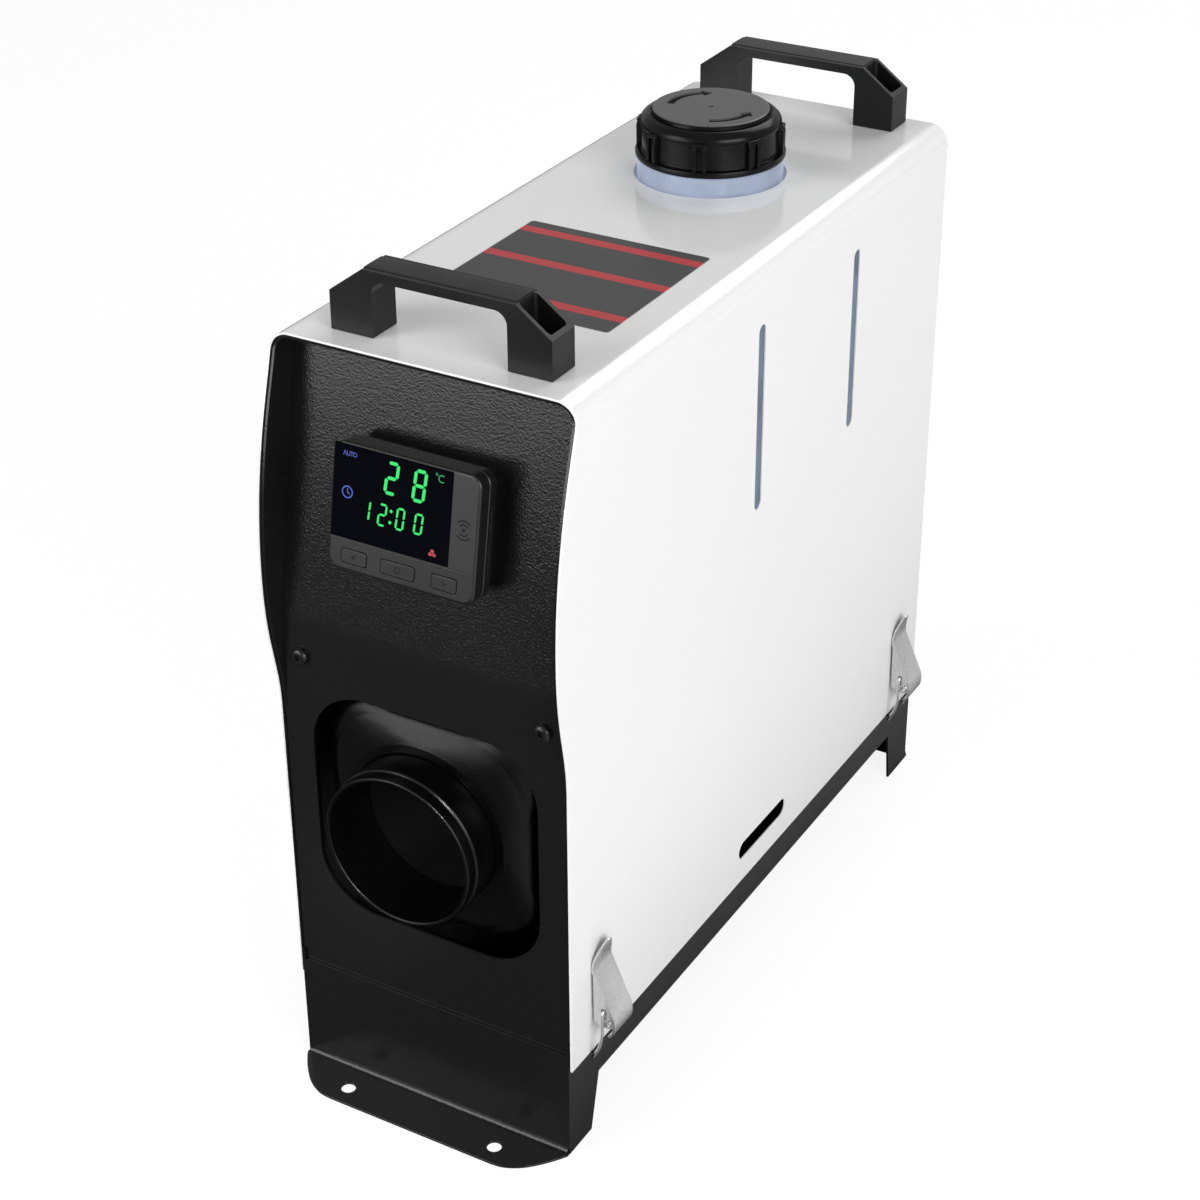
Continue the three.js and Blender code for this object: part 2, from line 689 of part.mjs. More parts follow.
function makeTray() {
  const walls = [];
  for (const [wall, outward, cheekFoot] of [
    [FRONT, -1, FRONT_CHEEK_FOOT],
    [REAR, 1, REAR_CHEEK_FOOT],
  ]) {
    const inward = wall - outward * SHEET;
    walls.push(
      box(-linerHalf, linerHalf, Math.min(wall, inward), Math.max(wall, inward), 0, TRAY_WALL_HEIGHT),
    );
    const tip = wall + outward * FLANGE_REACH;
    const bend = wall + outward * 2;
    const shoulder = wall + outward * FLANGE_REACH * 0.74;
    const narrow = linerHalf - FLANGE_CORNER_WIDTH;
    const flange = outline([
      [-linerHalf, inward],
      [-linerHalf, bend],
      [-(linerHalf + narrow) / 2 - 1, shoulder],
      [-narrow - 5, tip - outward * 1.8],
      [-narrow, tip],
      [narrow, tip],
      [narrow + 5, tip - outward * 1.8],
      [(linerHalf + narrow) / 2 + 1, shoulder],
      [linerHalf, bend],
      [linerHalf, inward],
    ]);
    const holes = [-1, 1].map((side) => {
      const at = [(side * BOLT_HOLE_SPACING) / 2, wall + outward * BOLT_HOLE_REACH, 0];
      return rod("z", at, BOLT_HOLE_DIAMETER, -SHEET, 2 * SHEET, 12);
    });
    walls.push(cut(prism("z", flange, 0, SHEET), ...holes));
    const cheek = outline([
      [wall, 0],
      [wall - outward * cheekFoot, 0],
      [wall - outward * CHEEK_DEPTH, GROUND_CLEARANCE],
      [wall, trayFloorTop],
    ]);
    walls.push(prism("x", cheek, railInner, linerHalf), prism("x", cheek, -linerHalf, -railInner));
  }
  const floor = box(-linerHalf, linerHalf, FRONT, REAR, GROUND_CLEARANCE, trayFloorTop);
  const rails = [
    cut(box(railInner, linerHalf, FRONT, REAR, GROUND_CLEARANCE, railTop), railSlot()),
    box(-linerHalf, -railInner, FRONT, REAR, GROUND_CLEARANCE, railTop),
  ];
  const keepers = latchPlaces().map(({ side, y }) => {
    const inner = side * (linerHalf - SHEET / 2);
    const outer = side * (coverHalf - SHEET - FIT + KEEPER_REACH);
    const from = Math.min(inner, outer);
    const to = Math.max(inner, outer);
    return box(from, to, y - KEEPER_WIDTH / 2, y + KEEPER_WIDTH / 2, keeperUnder, keeperUnder + SHEET);
  });
  const pipeHoles = [
    [exhaustY, EXHAUST_DIAMETER],
    [combustionAirY, COMBUSTION_AIR_DIAMETER],
  ].map(([y, diameter]) => rod("z", [0, y, 0], diameter + 4 * FIT, 0, trayFloorTop + SHEET, 16));
  return cut(join(floor, ...walls, ...rails, ...keepers), ...pipeHoles);
}

/** Panel screws sit at the same height and spacing in front and behind. */
function panelScrewPlaces() {
  return [-1, 1].map((side) => ({ side, x: side * (coverHalf - PANEL_SCREW_INSET) }));
}

function panelScrewHoles(from, to) {
  return panelScrewPlaces().map(({ x }) =>
    rod("y", [x, 0, panelScrewZ], PANEL_SCREW_DIAMETER + 2 * FIT, from, to, 8),
  );
}

function makeFrontPanel() {
  const topY = panelFace + (COVER_TOP - foldZ) * Math.tan(lean);
  const sheetLine = [
    [topY, COVER_TOP],
    [panelFace, foldZ],
    [panelFace, trayFloorTop],
  ];
  const sheet = prism("x", strip(sheetLine, SHEET), -coverHalf, coverHalf);
  const liner = cut(
    prism("y", arch(SHEET + FIT, trayFloorTop), FRONT - 2 * WING_BULGE, FRONT + BODY_DEPTH / 4, 4),
    prism("y", arch(2 * SHEET + FIT, 0), FRONT - 3 * WING_BULGE, FRONT + BODY_DEPTH / 3, 4),
  );
  const edge = coverFrontEdge(LINER_SETBACK);
  const seat = SHEET / 2;
  const linerSide = outline([
    ...edge,
    [edge[edge.length - 1][0], COVER_TOP],
    [topY + seat, COVER_TOP],
    [panelFace + seat, foldZ],
    [panelFace + seat, edge[0][1]],
  ]);
  const flange = liner.intersect(prism("x", linerSide, -COVER_WIDTH, COVER_WIDTH));
  const inside = prism("y", arch(SHEET + FIT, 0), FRONT - 2 * WING_BULGE, FRONT + BODY_DEPTH / 4, 4);
  const openingZ = heaterAxis - OUTLET_DROP;
  const opening = roundedRectangle(0, openingZ, OUTLET_WIDTH, OUTLET_HEIGHT, OUTLET_CORNER_RADIUS);
  return cut(
    join(sheet.intersect(inside), flange),
    ...railRoom(),
    prism("y", opening, FRONT, FRONT + 4 * SHEET, 8),
    ...panelScrewHoles(FRONT, FRONT + 4 * SHEET),
  );
}

function makeBackPanel() {
  const sheet = prism("y", arch(SHEET + FIT, trayFloorTop), backPanelInner, backPanelInner + SHEET, 4);
  const slots = Array.from({ length: INTAKE_SLOTS }, (_, k) => {
    const z = heaterAxis + (k - (INTAKE_SLOTS - 1) / 2) * INTAKE_SLOT_PITCH;
    const reach = (k - (INTAKE_SLOTS - 1) / 2) / (INTAKE_SLOTS / 2);
    const width = INTAKE_SLOT_WIDTH * Math.sqrt(1 - 0.6 * reach * reach);
    const slot = roundedRectangle(0, z, width, INTAKE_SLOT_HEIGHT, INTAKE_SLOT_HEIGHT / 2);
    return prism("y", slot, backPanelInner - SHEET, REAR, 2);
  });
  return cut(
    sheet,
    ...railRoom(),
    ...slots,
    ...panelScrewHoles(backPanelInner - SHEET, REAR),
    rod("y", [-glandX, 0, GLAND_HEIGHT], GLAND_DIAMETER - 4 + 2 * FIT, backPanelInner - SHEET, REAR, 12),
  );
}

/** Pan-head screw with a hexagonal drive: the tip points inwards from a seat plane. */
function makePanelScrew(seat, outward) {
  const radius = PANEL_SCREW_HEAD_DIAMETER / 2;
  const shank = PANEL_SCREW_DIAMETER / 2;
  const inner = seat - outward * PANEL_SCREW_LENGTH;
  const height = outward * PANEL_SCREW_HEAD_HEIGHT;
  const profile = [
    [0, inner],
    [shank, inner],
    [shank, seat],
    [radius, seat],
    [radius, seat + height * 0.3],
    [radius * 0.82, seat + height * 0.75],
    [radius * 0.5, seat + height],
    [0, seat + height],
  ];
  const drive = [seat + height - outward * DRIVE_DEPTH, seat + 2 * height].sort((a, b) => a - b);
  return cut(
    turned("y", [0, 0, 0], profile, 12),
    rod("y", [0, 0, 0], DRIVE_DIAMETER, drive[0], drive[1], 6),
  );
}

function makeTankShelf() {
  const front = panelFace + SHEET + FIT;
  const rear = backPanelInner - FIT;
  const upstandTop = shelfTop + SHELF_UPSTAND;
  return cut(
    box(-linerHalf, linerHalf, front, rear, shelfUnder, upstandTop),
    box(-railInner, railInner, front + SHEET, rear - SHEET, shelfTop, 2 * upstandTop),
    ...panelScrewHoles(front - SHEET, front + 2 * SHEET),
    ...panelScrewHoles(rear - 2 * SHEET, rear + SHEET),
    rod("z", [TANK_OUTLET_X, tankOutletY, 0], HOSE_DIAMETER + 4, shelfUnder - SHEET, shelfTop + SHEET, 16),
  );
}

// -----------------------------------------------------------------------------------------------
// Handles and label
// -----------------------------------------------------------------------------------------------

function handlePlaces() {
  return [
    { name: "front_handle", x: FRONT_HANDLE_OFFSET, y: FRONT + FRONT_HANDLE_SETBACK },
    { name: "rear_handle", x: 0, y: REAR - REAR_HANDLE_SETBACK },
  ];
}

/** Bridge handle around x = 0 and y = 0, standing on z = 0. */
function makeHandle() {
  const end = HANDLE_LENGTH / 2;
  const inner = end - HANDLE_POST;
  const underBar = HANDLE_HEIGHT - HANDLE_BAR;
  const r = HANDLE_INNER_RADIUS;
  const side = new THREE.Shape();
  side.moveTo(-end, 0);
  side.lineTo(-inner, 0);
  side.lineTo(-inner, underBar - r);
  side.absarc(-inner + r, underBar - r, r, Math.PI, Math.PI / 2, true);
  side.lineTo(inner - r, underBar);
  side.absarc(inner - r, underBar - r, r, Math.PI / 2, 0, true);
  side.lineTo(inner, 0);
  side.lineTo(end, 0);
  side.lineTo(end, HANDLE_HEIGHT - HANDLE_CHAMFER_DROP);
  side.lineTo(end - HANDLE_CHAMFER_RUN, HANDLE_HEIGHT);
  side.lineTo(HANDLE_CHAMFER_RUN - end, HANDLE_HEIGHT);
  side.lineTo(-end, HANDLE_HEIGHT - HANDLE_CHAMFER_DROP);
  side.closePath();
  const half = HANDLE_DEPTH / 2;
  const screwHole = HANDLE_SCREW_DIAMETER + 2 * FIT;
  const pockets = [-1, 1].flatMap((sign) => {
    const near = sign * (end - HANDLE_CHAMFER_RUN);
    const far = sign * (end - HANDLE_POCKET_WALL);
    const [x0, x1] = [near, far].sort((a, b) => a - b);
    const pocketHalf = half - HANDLE_POCKET_WALL;
    return [
      box(x0, x1, -pocketHalf, pocketHalf, HANDLE_POCKET_FLOOR, 2 * HANDLE_HEIGHT),
      rod("z", [sign * handleScrewX, 0, 0], screwHole, -1, 2 * HANDLE_POCKET_FLOOR, 8),
    ];
  });
  return cut(prism("y", side, -half, half, 4), ...pockets);
}

function makeHandleScrew() {
  const shank = HANDLE_SCREW_DIAMETER / 2;
  const head = HANDLE_SCREW_HEAD_DIAMETER / 2;
  const profile = [
    [0, -HANDLE_SCREW_LENGTH],
    [shank, -HANDLE_SCREW_LENGTH],
    [shank, 0],
    [head, 0],
    [head, HANDLE_SCREW_HEAD_HEIGHT * 0.4],
    [head * 0.6, HANDLE_SCREW_HEAD_HEIGHT],
    [0, HANDLE_SCREW_HEAD_HEIGHT],
  ];
  const driveFloor = HANDLE_SCREW_HEAD_HEIGHT - DRIVE_DEPTH;
  return cut(
    turned("z", [0, 0, 0], profile, 10),
    rod("z", [0, 0, 0], DRIVE_DIAMETER, driveFloor, 2 * HANDLE_SCREW_HEAD_HEIGHT, 6),
  );
}

function makeLabel() {
  const bed = COVER_TOP + LABEL_BED;
  const middle = FRONT + LABEL_SETBACK + LABEL_DEPTH / 2;
  const shape = roundedRectangle(LABEL_OFFSET, middle, LABEL_WIDTH, LABEL_DEPTH, 1.5);
  return prism("z", shape, bed, bed + LABEL_THICKNESS, 3);
}

// -----------------------------------------------------------------------------------------------
// Fuel tank, cap and lines
// -----------------------------------------------------------------------------------------------

function makeTank() {
  const inner = TANK_WALL;
  const outside = roundedBox(
    [-tankHalf, tankHalf],
    [tankFront, tankRear],
    [tankBottom, tankTop],
    TANK_RADIUS,
  );
  const cavity = roundedBox(
    [inner - tankHalf, tankHalf - inner],
    [tankFront + inner, tankRear - inner],
    [tankBottom + inner, tankTop - inner],
    TANK_RADIUS - inner,
  );
  const neck = turned(
    "z",
    [0, fillerY, 0],
    [
      [0, tankTop - inner],
      [NECK_DIAMETER / 2, tankTop - inner],
      [NECK_DIAMETER / 2, collarTop],
      [THREAD_DIAMETER / 2, collarTop],
      [THREAD_DIAMETER / 2, collarTop + THREAD_LENGTH],
      [0, collarTop + THREAD_LENGTH],
    ],
    32,
  );
  const mouth = rod(
    "z",
    [0, fillerY, 0],
    FILLER_BORE,
    tankTop - 2 * inner,
    collarTop + 2 * THREAD_LENGTH,
    24,
  );
  const outlet = [TANK_OUTLET_X, tankOutletY, 0];
  const nipple = rod("z", outlet, NIPPLE_DIAMETER, nippleTipZ, tankBottom + inner, 8);
  const nippleBore = rod("z", outlet, NIPPLE_BORE, nippleTipZ - 1, tankBottom + 2 * inner, 6);
  return cut(join(outside, neck, nipple), cavity, mouth, nippleBore);
}

/** Sunken curved arrow on the cap's top: an arc band with a pointed head, along a signed sweep. */
function arrowGroove({ tail, turn }, floor) {
  const inner = CAP_TOP_DIAMETER * 0.32;
  const outer = CAP_TOP_DIAMETER * 0.39;
  const middle = (inner + outer) / 2;
  const startAngle = THREE.MathUtils.degToRad(tail);
  const sweep = THREE.MathUtils.degToRad(turn * 0.8);
  const headSweep = THREE.MathUtils.degToRad(turn * 0.2);
  const head = startAngle + sweep;
  const at = (radius, angle) => [radius * Math.cos(angle), radius * Math.sin(angle)];
  const arc = (radius) => [0, 1, 2, 3].map((k) => at(radius, startAngle + (sweep * k) / 3));
  const shape = outline([
    ...arc(inner),
    at(inner - 2, head),
    at(middle, head + headSweep),
    at(outer + 2, head),
    ...arc(outer).reverse(),
  ]);
  const groove = new THREE.ExtrudeGeometry(shape, { depth: CAP_CROWN, bevelEnabled: false });
  groove.translate(0, fillerY, floor);
  return solidOf(groove);
}

function makeCap() {
  const rim = CAP_DIAMETER / 2;
  const skirt = CAP_SKIRT_DIAMETER / 2;
  const crown = CAP_TOP_DIAMETER / 2;
  const top = capBottom + CAP_HEIGHT;
  const shoulder = top - CAP_CROWN - 1.5;
  const body = turned(
    "z",
    [0, fillerY, 0],
    [
      [0, capBottom],
      [rim, capBottom],
      [rim, capBottom + CAP_RIM - 0.6],
      [rim - 0.8, capBottom + CAP_RIM],
      [skirt, capBottom + CAP_RIM],
      [skirt, shoulder],
      [skirt - 1.2, shoulder + 2],
      [crown + 1.6, top - 2],
      [crown + 1, top - 2],
      [crown, top - 0.3],
      [crown - 0.6, top],
      [0, top],
    ],
    32,
  );
  const ribs = Array.from({ length: CAP_RIBS }, (_, k) => {
    const rib = new THREE.ExtrudeGeometry(
      outline([
        [skirt - 3, 1],
        [rim - 0.6, 1],
        [rim - 0.6, CAP_HEIGHT * 0.6],
        [rim - 2.6, CAP_HEIGHT * 0.72],
        [skirt - 3, CAP_HEIGHT * 0.8],
      ]),
      { depth: CAP_RIB_WIDTH, bevelEnabled: false },
    );
    rib.rotateX(Math.PI / 2);
    rib.translate(0, CAP_RIB_WIDTH / 2, 0);
    rib.rotateZ(((k + 0.5) * 2 * Math.PI) / CAP_RIBS - THREE.MathUtils.degToRad(CAP_RIB_TURN));
    rib.translate(0, fillerY, capBottom);
    return solidOf(rib);
  });
  const bore = rod("z", [0, fillerY, 0], THREAD_DIAMETER + 2 * FIT, capBottom - 1, capCeiling, 32);
  const floor = top - CAP_ARROW_DEPTH;
  return cut(join(body, ...ribs), bore, ...CAP_ARROWS.map((arrow) => arrowGroove(arrow, floor)));
}

function makeCapSeal() {
  const under = collarTop + THREAD_LENGTH + FIT;
  return rod("z", [0, fillerY, 0], SEAL_DIAMETER, under, under + SEAL_THICKNESS, 24);
}

function makePump() {
  const at = [TANK_OUTLET_X, 0, pumpZ];
  const radius = PUMP_DIAMETER / 2;
  const neck = NIPPLE_DIAMETER / 2;
  const step = 6;
  const body = turned(
    "y",
    at,
    [
      [0, pumpFront - NIPPLE_LENGTH],
      [neck, pumpFront - NIPPLE_LENGTH],
      [neck, pumpFront],
      [radius * 0.6, pumpFront],
      [radius * 0.6, pumpFront + step],
      [radius, pumpFront + step],
      [radius, pumpRear - step],
      [radius * 0.6, pumpRear - step],
      [radius * 0.6, pumpRear],
      [neck, pumpRear],
      [neck, pumpRear + NIPPLE_LENGTH],
      [0, pumpRear + NIPPLE_LENGTH],
    ],
    12,
  );
  const reach = 2 * NIPPLE_LENGTH;
  return cut(body, rod("y", at, NIPPLE_BORE, pumpFront - reach, pumpRear + reach, 6));
}

function makePumpClamp() {
  const bore = PUMP_DIAMETER + 2 * FIT;
  const outer = bore + 2 * CLAMP_THICKNESS;
  const middle = (pumpFront + pumpRear) / 2;
  const from = middle - CLAMP_WIDTH / 2;
  const to = middle + CLAMP_WIDTH / 2;
  const at = [TANK_OUTLET_X, 0, pumpZ];
  const left = TANK_OUTLET_X - outer / 2;
  const base = box(left, left + outer, from, to, trayFloorTop + FIT, pumpZ);
  const ring = rod("y", at, outer, from, to, 16);
  return cut(join(ring, base), rod("y", at, bore, from - 1, to + 1, 16));
}

function makeSupplyHose() {
  const x = TANK_OUTLET_X;
  const top = nippleTipZ + NIPPLE_LENGTH * 0.6;
  const pumpEnd = pumpRear + NIPPLE_LENGTH * 0.4;
  const straight = pumpRear + NIPPLE_LENGTH + HOSE_STRAIGHT;
  const bend = tankOutletY - straight;
  return tube(
    [
      [x, tankOutletY, top],
      [x, tankOutletY, nippleTipZ - HOSE_STRAIGHT],
      [x, tankOutletY, (nippleTipZ + pumpZ) / 2],
      [x, tankOutletY, pumpZ + bend],
      [x, tankOutletY - bend * 0.3, pumpZ + bend * 0.3],
      [x, straight, pumpZ],
      [x, pumpEnd, pumpZ],
    ],
    HOSE_DIAMETER,
    6,
    24,
    NIPPLE_DIAMETER + 2 * FIT,
  );
}

function makeFeedHose() {
  const x = TANK_OUTLET_X;
  const start = pumpFront - NIPPLE_LENGTH * 0.4;
  const straight = pumpFront - NIPPLE_LENGTH - HOSE_STRAIGHT;
  const run = straight - fuelInletY;
  const inletTip = bracketTop - BRACKET_PLATE - NIPPLE_LENGTH;
  const top = inletTip + NIPPLE_LENGTH * 0.7;
  const rise = inletTip - HOSE_STRAIGHT - pumpZ;
  return tube(
    [
      [x, start, pumpZ],
      [x, straight, pumpZ],
      [x * 0.84, fuelInletY + run * 0.5, pumpZ + rise * 0.06],
      [x * 0.4, fuelInletY + run * 0.14, pumpZ + rise * 0.25],
      [x * 0.08, fuelInletY + run * 0.02, pumpZ + rise * 0.6],
      [0, fuelInletY, pumpZ + rise],
      [0, fuelInletY, top],
    ],
    HOSE_DIAMETER,
    6,
    20,
    NIPPLE_DIAMETER + 2 * FIT,
  );
}

// -----------------------------------------------------------------------------------------------
// Air heater
// -----------------------------------------------------------------------------------------------

function makeDuct() {
  const outer = DUCT_DIAMETER / 2;
  const inner = outer - DUCT_WALL;
  const mouth = FRONT - DUCT_REACH;
  const base = FRONT + DUCT_INSERT;
  const beadAt = mouth + 7;
  return turned(
    "y",
    [0, 0, heaterAxis],
    [
      [inner, mouth],
      [outer - 0.4, mouth],
      [outer, mouth + 0.6],
      [outer, beadAt - 1.5],
      [outer + DUCT_BEAD, beadAt],
      [outer, beadAt + 1.5],
      [outer, base],
      [inner, base],
      [inner, mouth],
    ],
    36,
  );
}

function makeNose() {
  const outer = squareLoft(
    [
      [FRONT, DUCT_DIAMETER / 2 + 4, DUCT_DIAMETER / 2 + 4],
      [FRONT + 0.8, casingHalf - 9, casingHalf - 18],
      [FRONT + 3, casingHalf - 3.4, CASING_CORNER_RADIUS + 2.5],
      [FRONT + 7, casingHalf - 0.6, CASING_CORNER_RADIUS],
      [FRONT + 10, casingHalf, CASING_CORNER_RADIUS],
      [noseRear, casingHalf, CASING_CORNER_RADIUS],
    ],
    heaterAxis,
  );
  const w = CASING_WALL;
  const inner = squareLoft(
    [
      [FRONT + w, DUCT_DIAMETER / 2 + 3, DUCT_DIAMETER / 2 + 3],
      [FRONT + w + 1.5, casingHalf - 9 - w, casingHalf - 18 - w],
      [FRONT + w + 4, casingHalf - 3.4 - w, CASING_CORNER_RADIUS + 2.5 - w],
      [FRONT + w + 7, casingInner, CASING_CORNER_RADIUS - w],
      [noseRear + 1, casingInner, CASING_CORNER_RADIUS - w],
    ],
    heaterAxis,
  );
  const axis = [0, 0, heaterAxis];
  const boreDiameter = DUCT_DIAMETER + 2 * FIT;
  const collar = rod("y", axis, boreDiameter + 2 * w, FRONT + 1, FRONT + DUCT_INSERT, 36);
  const bore = rod("y", axis, boreDiameter, FRONT - 1, noseRear + 1, 36);
  return cut(join(cut(outer, inner), collar), bore);
}

/** Lower side of the casing has a hole for the heat exchanger's foot. */
function footBox(spread, bottom, top) {
  const half = FOOT_WIDTH / 2 + spread;
  return box(-half, half, footFront - spread, footRear + spread, bottom, top);
}

function makeCasingHalf(sign) {
  const w = CASING_WALL;
  const size = CASING_SIZE;
  const r = CASING_CORNER_RADIUS;
  const outside = roundedRectangle(0, heaterAxis, size, size, r);
  const inside = roundedRectangle(0, heaterAxis, size - 2 * w, size - 2 * w, r - w);
  const skin = cut(
    prism("y", outside, casingFront, casingRear, 4),
    prism("y", inside, casingFront - 1, casingRear + 1, 4),
  );
  const seam = heaterAxis + (sign * FIT) / 2;
  const far = heaterAxis + sign * size;
  const [z0, z1] = [seam, far].sort((a, b) => a - b);
  const half = skin.intersect(box(-size, size, FRONT, REAR, z0, z1));
  return sign > 0 ? half : cut(half, footBox(FIT, 0, heaterAxis - casingInner + 1));
}

function makeExchanger() {
  const axis = [0, 0, heaterAxis];
  const bodyFront = exchangerFront + FINGER_LENGTH;
  const core = EXCHANGER_CORE_DIAMETER / 2;
  const finTip = casingInner - EXCHANGER_FIN_CLEARANCE;
  const finRoot = core - 1;
  const finFront = bodyFront + 14;
  const fingerMiddle = (exchangerFront + bodyFront + 2) / 2;
  const drum = turned(
    "y",
    axis,
    [
      [0, bodyFront],
      [core - 8, bodyFront],
      [core, bodyFront + 8],
      [core, exchangerRear],
      [0, exchangerRear],
    ],
    24,
  );
  const fins = aroundHeaterAxis(
    EXCHANGER_FINS,
    () => {
      const fin = new THREE.BoxGeometry(finTip - finRoot, exchangerRear - finFront, FIN_THICKNESS);
      fin.translate((finTip + finRoot) / 2, (finFront + exchangerRear) / 2, 0);
      return fin;
    },
    Math.PI / EXCHANGER_FINS,
  );
  const hub = rod("y", axis, FINGER_HUB_DIAMETER, exchangerFront, bodyFront + 2, 20);
  const fingers = aroundHeaterAxis(4, () => {
    const finger = new THREE.BoxGeometry(finTip, FINGER_LENGTH + 2, FINGER_WIDTH);
    finger.translate(finTip / 2, fingerMiddle, 0);
    return finger;
  });
  const sideFingers = [-1, 1].flatMap((side) =>
    aroundHeaterAxis(4, () => {
      const finger = new THREE.BoxGeometry(finTip - 6, FINGER_LENGTH + 2, FINGER_WIDTH);
      finger.translate((finTip - 6) / 2, fingerMiddle, side * FINGER_PITCH);
      return finger;
    }),
  );
  const stubs = aroundHeaterAxis(
    4,
    () => {
      const reach = FINGER_HUB_DIAMETER * 0.8;
      const stub = new THREE.BoxGeometry(reach, FINGER_LENGTH + 2, FINGER_WIDTH * 1.5);
      stub.translate(reach / 2, fingerMiddle, 0);
      return stub;
    },
    Math.PI / 4,
  );
  const foot = footBox(0, footBottom, heaterAxis - core * 0.8);
  const nippleTip = bracketTop - BRACKET_PLATE - NIPPLE_LENGTH;
  const nipple = rod("z", [0, fuelInletY, 0], NIPPLE_DIAMETER, nippleTip, footBottom + 1, 8);
  const solid = join(drum, ...fins, hub, ...fingers, ...sideFingers, ...stubs, foot, nipple);
  const chamber = rod("y", axis, EXCHANGER_BORE, bodyFront + 12, exchangerRear + 1, 20);
  const ports = [
    [exhaustY, EXHAUST_DIAMETER],
    [combustionAirY, COMBUSTION_AIR_DIAMETER],
  ].map(([y, diameter]) =>
    rod("z", [0, y, 0], diameter - 2 * PIPE_WALL, footBottom - 1, heaterAxis - EXCHANGER_BORE / 4, 12),
  );
  return cut(solid, chamber, ...ports);
}

function makeBurner() {
  const axis = [0, 0, heaterAxis];
  const tubeRadius = BURNER_DIAMETER / 2;
  const flangeRadius = BURNER_FLANGE_DIAMETER / 2;
  const front = exchangerFront + FINGER_LENGTH + BURNER_SETBACK;
  const solid = turned(
    "y",
    axis,
    [
      [0, front],
      [tubeRadius, front],
      [tubeRadius, burnerFlangeFront],
      [flangeRadius, burnerFlangeFront],
      [flangeRadius, burnerFlangeRear],
      [0, burnerFlangeRear],
    ],
    20,
  );
  const plugAxis = [0, 0, heaterAxis + GLOW_PLUG_OFFSET];
  return cut(
    solid,
    rod("y", axis, BURNER_DIAMETER - 2 * BURNER_WALL, front - 1, burnerFlangeFront, 20),
    rod("y", plugAxis, GLOW_PLUG_ROD + 2 * FIT, front, burnerFlangeRear + 1, 8),
  );
}

function makeGlowPlug() {
  const at = [0, 0, heaterAxis + GLOW_PLUG_OFFSET];
  const seat = burnerFlangeRear + FIT;
  return join(
    rod("y", at, GLOW_PLUG_ROD, seat - GLOW_PLUG_LENGTH, seat + 1, 8),
    rod("y", at, GLOW_PLUG_HEX, seat, seat + GLOW_PLUG_HEAD, 6),
  );
}

function makeImpeller() {
  const axis = [0, 0, heaterAxis];
  const radius = IMPELLER_DIAMETER / 2;
  const plate = 2;
  const hub = SHAFT_DIAMETER + 8;
  const blades = aroundHeaterAxis(IMPELLER_BLADES, () => {
    const blade = new THREE.BoxGeometry(radius - hub / 2, IMPELLER_DEPTH - 1, 1.5);
    blade.rotateY(0.5);
    blade.translate((radius + hub / 2) / 2 - 0.5, impellerFront + (IMPELLER_DEPTH + 1) / 2, 0);
    return blade;
  });
  const wheel = join(
    rod("y", axis, IMPELLER_DIAMETER, impellerFront, impellerFront + plate, 24),
    rod("y", axis, hub, impellerFront, impellerFront + IMPELLER_DEPTH, 12),
    ...blades,
  );
  return cut(wheel, shaftBore(impellerFront, impellerFront + IMPELLER_DEPTH));
}

function makeShaft() {
  return rod("y", [0, 0, heaterAxis], SHAFT_DIAMETER, impellerFront - 1, blowerRear + 1, 12);
}

/** Bore for the motor shaft, past both faces of a piece that sits on it. */
function shaftBore(from, to) {
  return rod("y", [0, 0, heaterAxis], SHAFT_DIAMETER + 2 * FIT, from - 1, to + 1, 12);
}

function makeMotor() {
  const axis = [0, 0, heaterAxis];
  const cornerRadius = CASING_CORNER_RADIUS - CASING_WALL;
  const reach = (casingInner - cornerRadius) * Math.SQRT2 + cornerRadius;
  const start = MOTOR_DIAMETER / 4;
  const arms = aroundHeaterAxis(
    4,
    () => {
      const arm = new THREE.BoxGeometry(reach - FIT - start, MOTOR_ARM, MOTOR_ARM);
      arm.translate((reach - FIT + start) / 2, (motorFront + motorRear) / 2, 0);
      return arm;
    },
    Math.PI / 4,
  );
  const roomSize = 2 * (casingInner - FIT);
  const roomShape = roundedRectangle(0, heaterAxis, roomSize, roomSize, cornerRadius - FIT);
  const room = prism("y", roomShape, motorFront, motorRear, 3);
  const body = join(rod("y", axis, MOTOR_DIAMETER, motorFront, motorRear, 20), ...arms).intersect(room);
  return cut(body, shaftBore(motorFront, motorRear));
}

function makeBlower() {
  const axis = [0, 0, heaterAxis];
  const hub = BLOWER_HUB_DIAMETER / 2;
  const tip = BLOWER_DIAMETER / 2;
  const blades = aroundHeaterAxis(BLOWER_BLADES, () => {
    const blade = new THREE.BoxGeometry(tip - hub, 2, 15);
    blade.rotateX(0.6);
    blade.translate((tip + hub) / 2 - 1, (blowerFront + blowerRear) / 2, 0);
    return blade;
  });
  const wheel = join(rod("y", axis, BLOWER_HUB_DIAMETER, blowerFront, blowerRear, 20), ...blades);
  return cut(wheel, shaftBore(blowerFront, blowerRear));
}

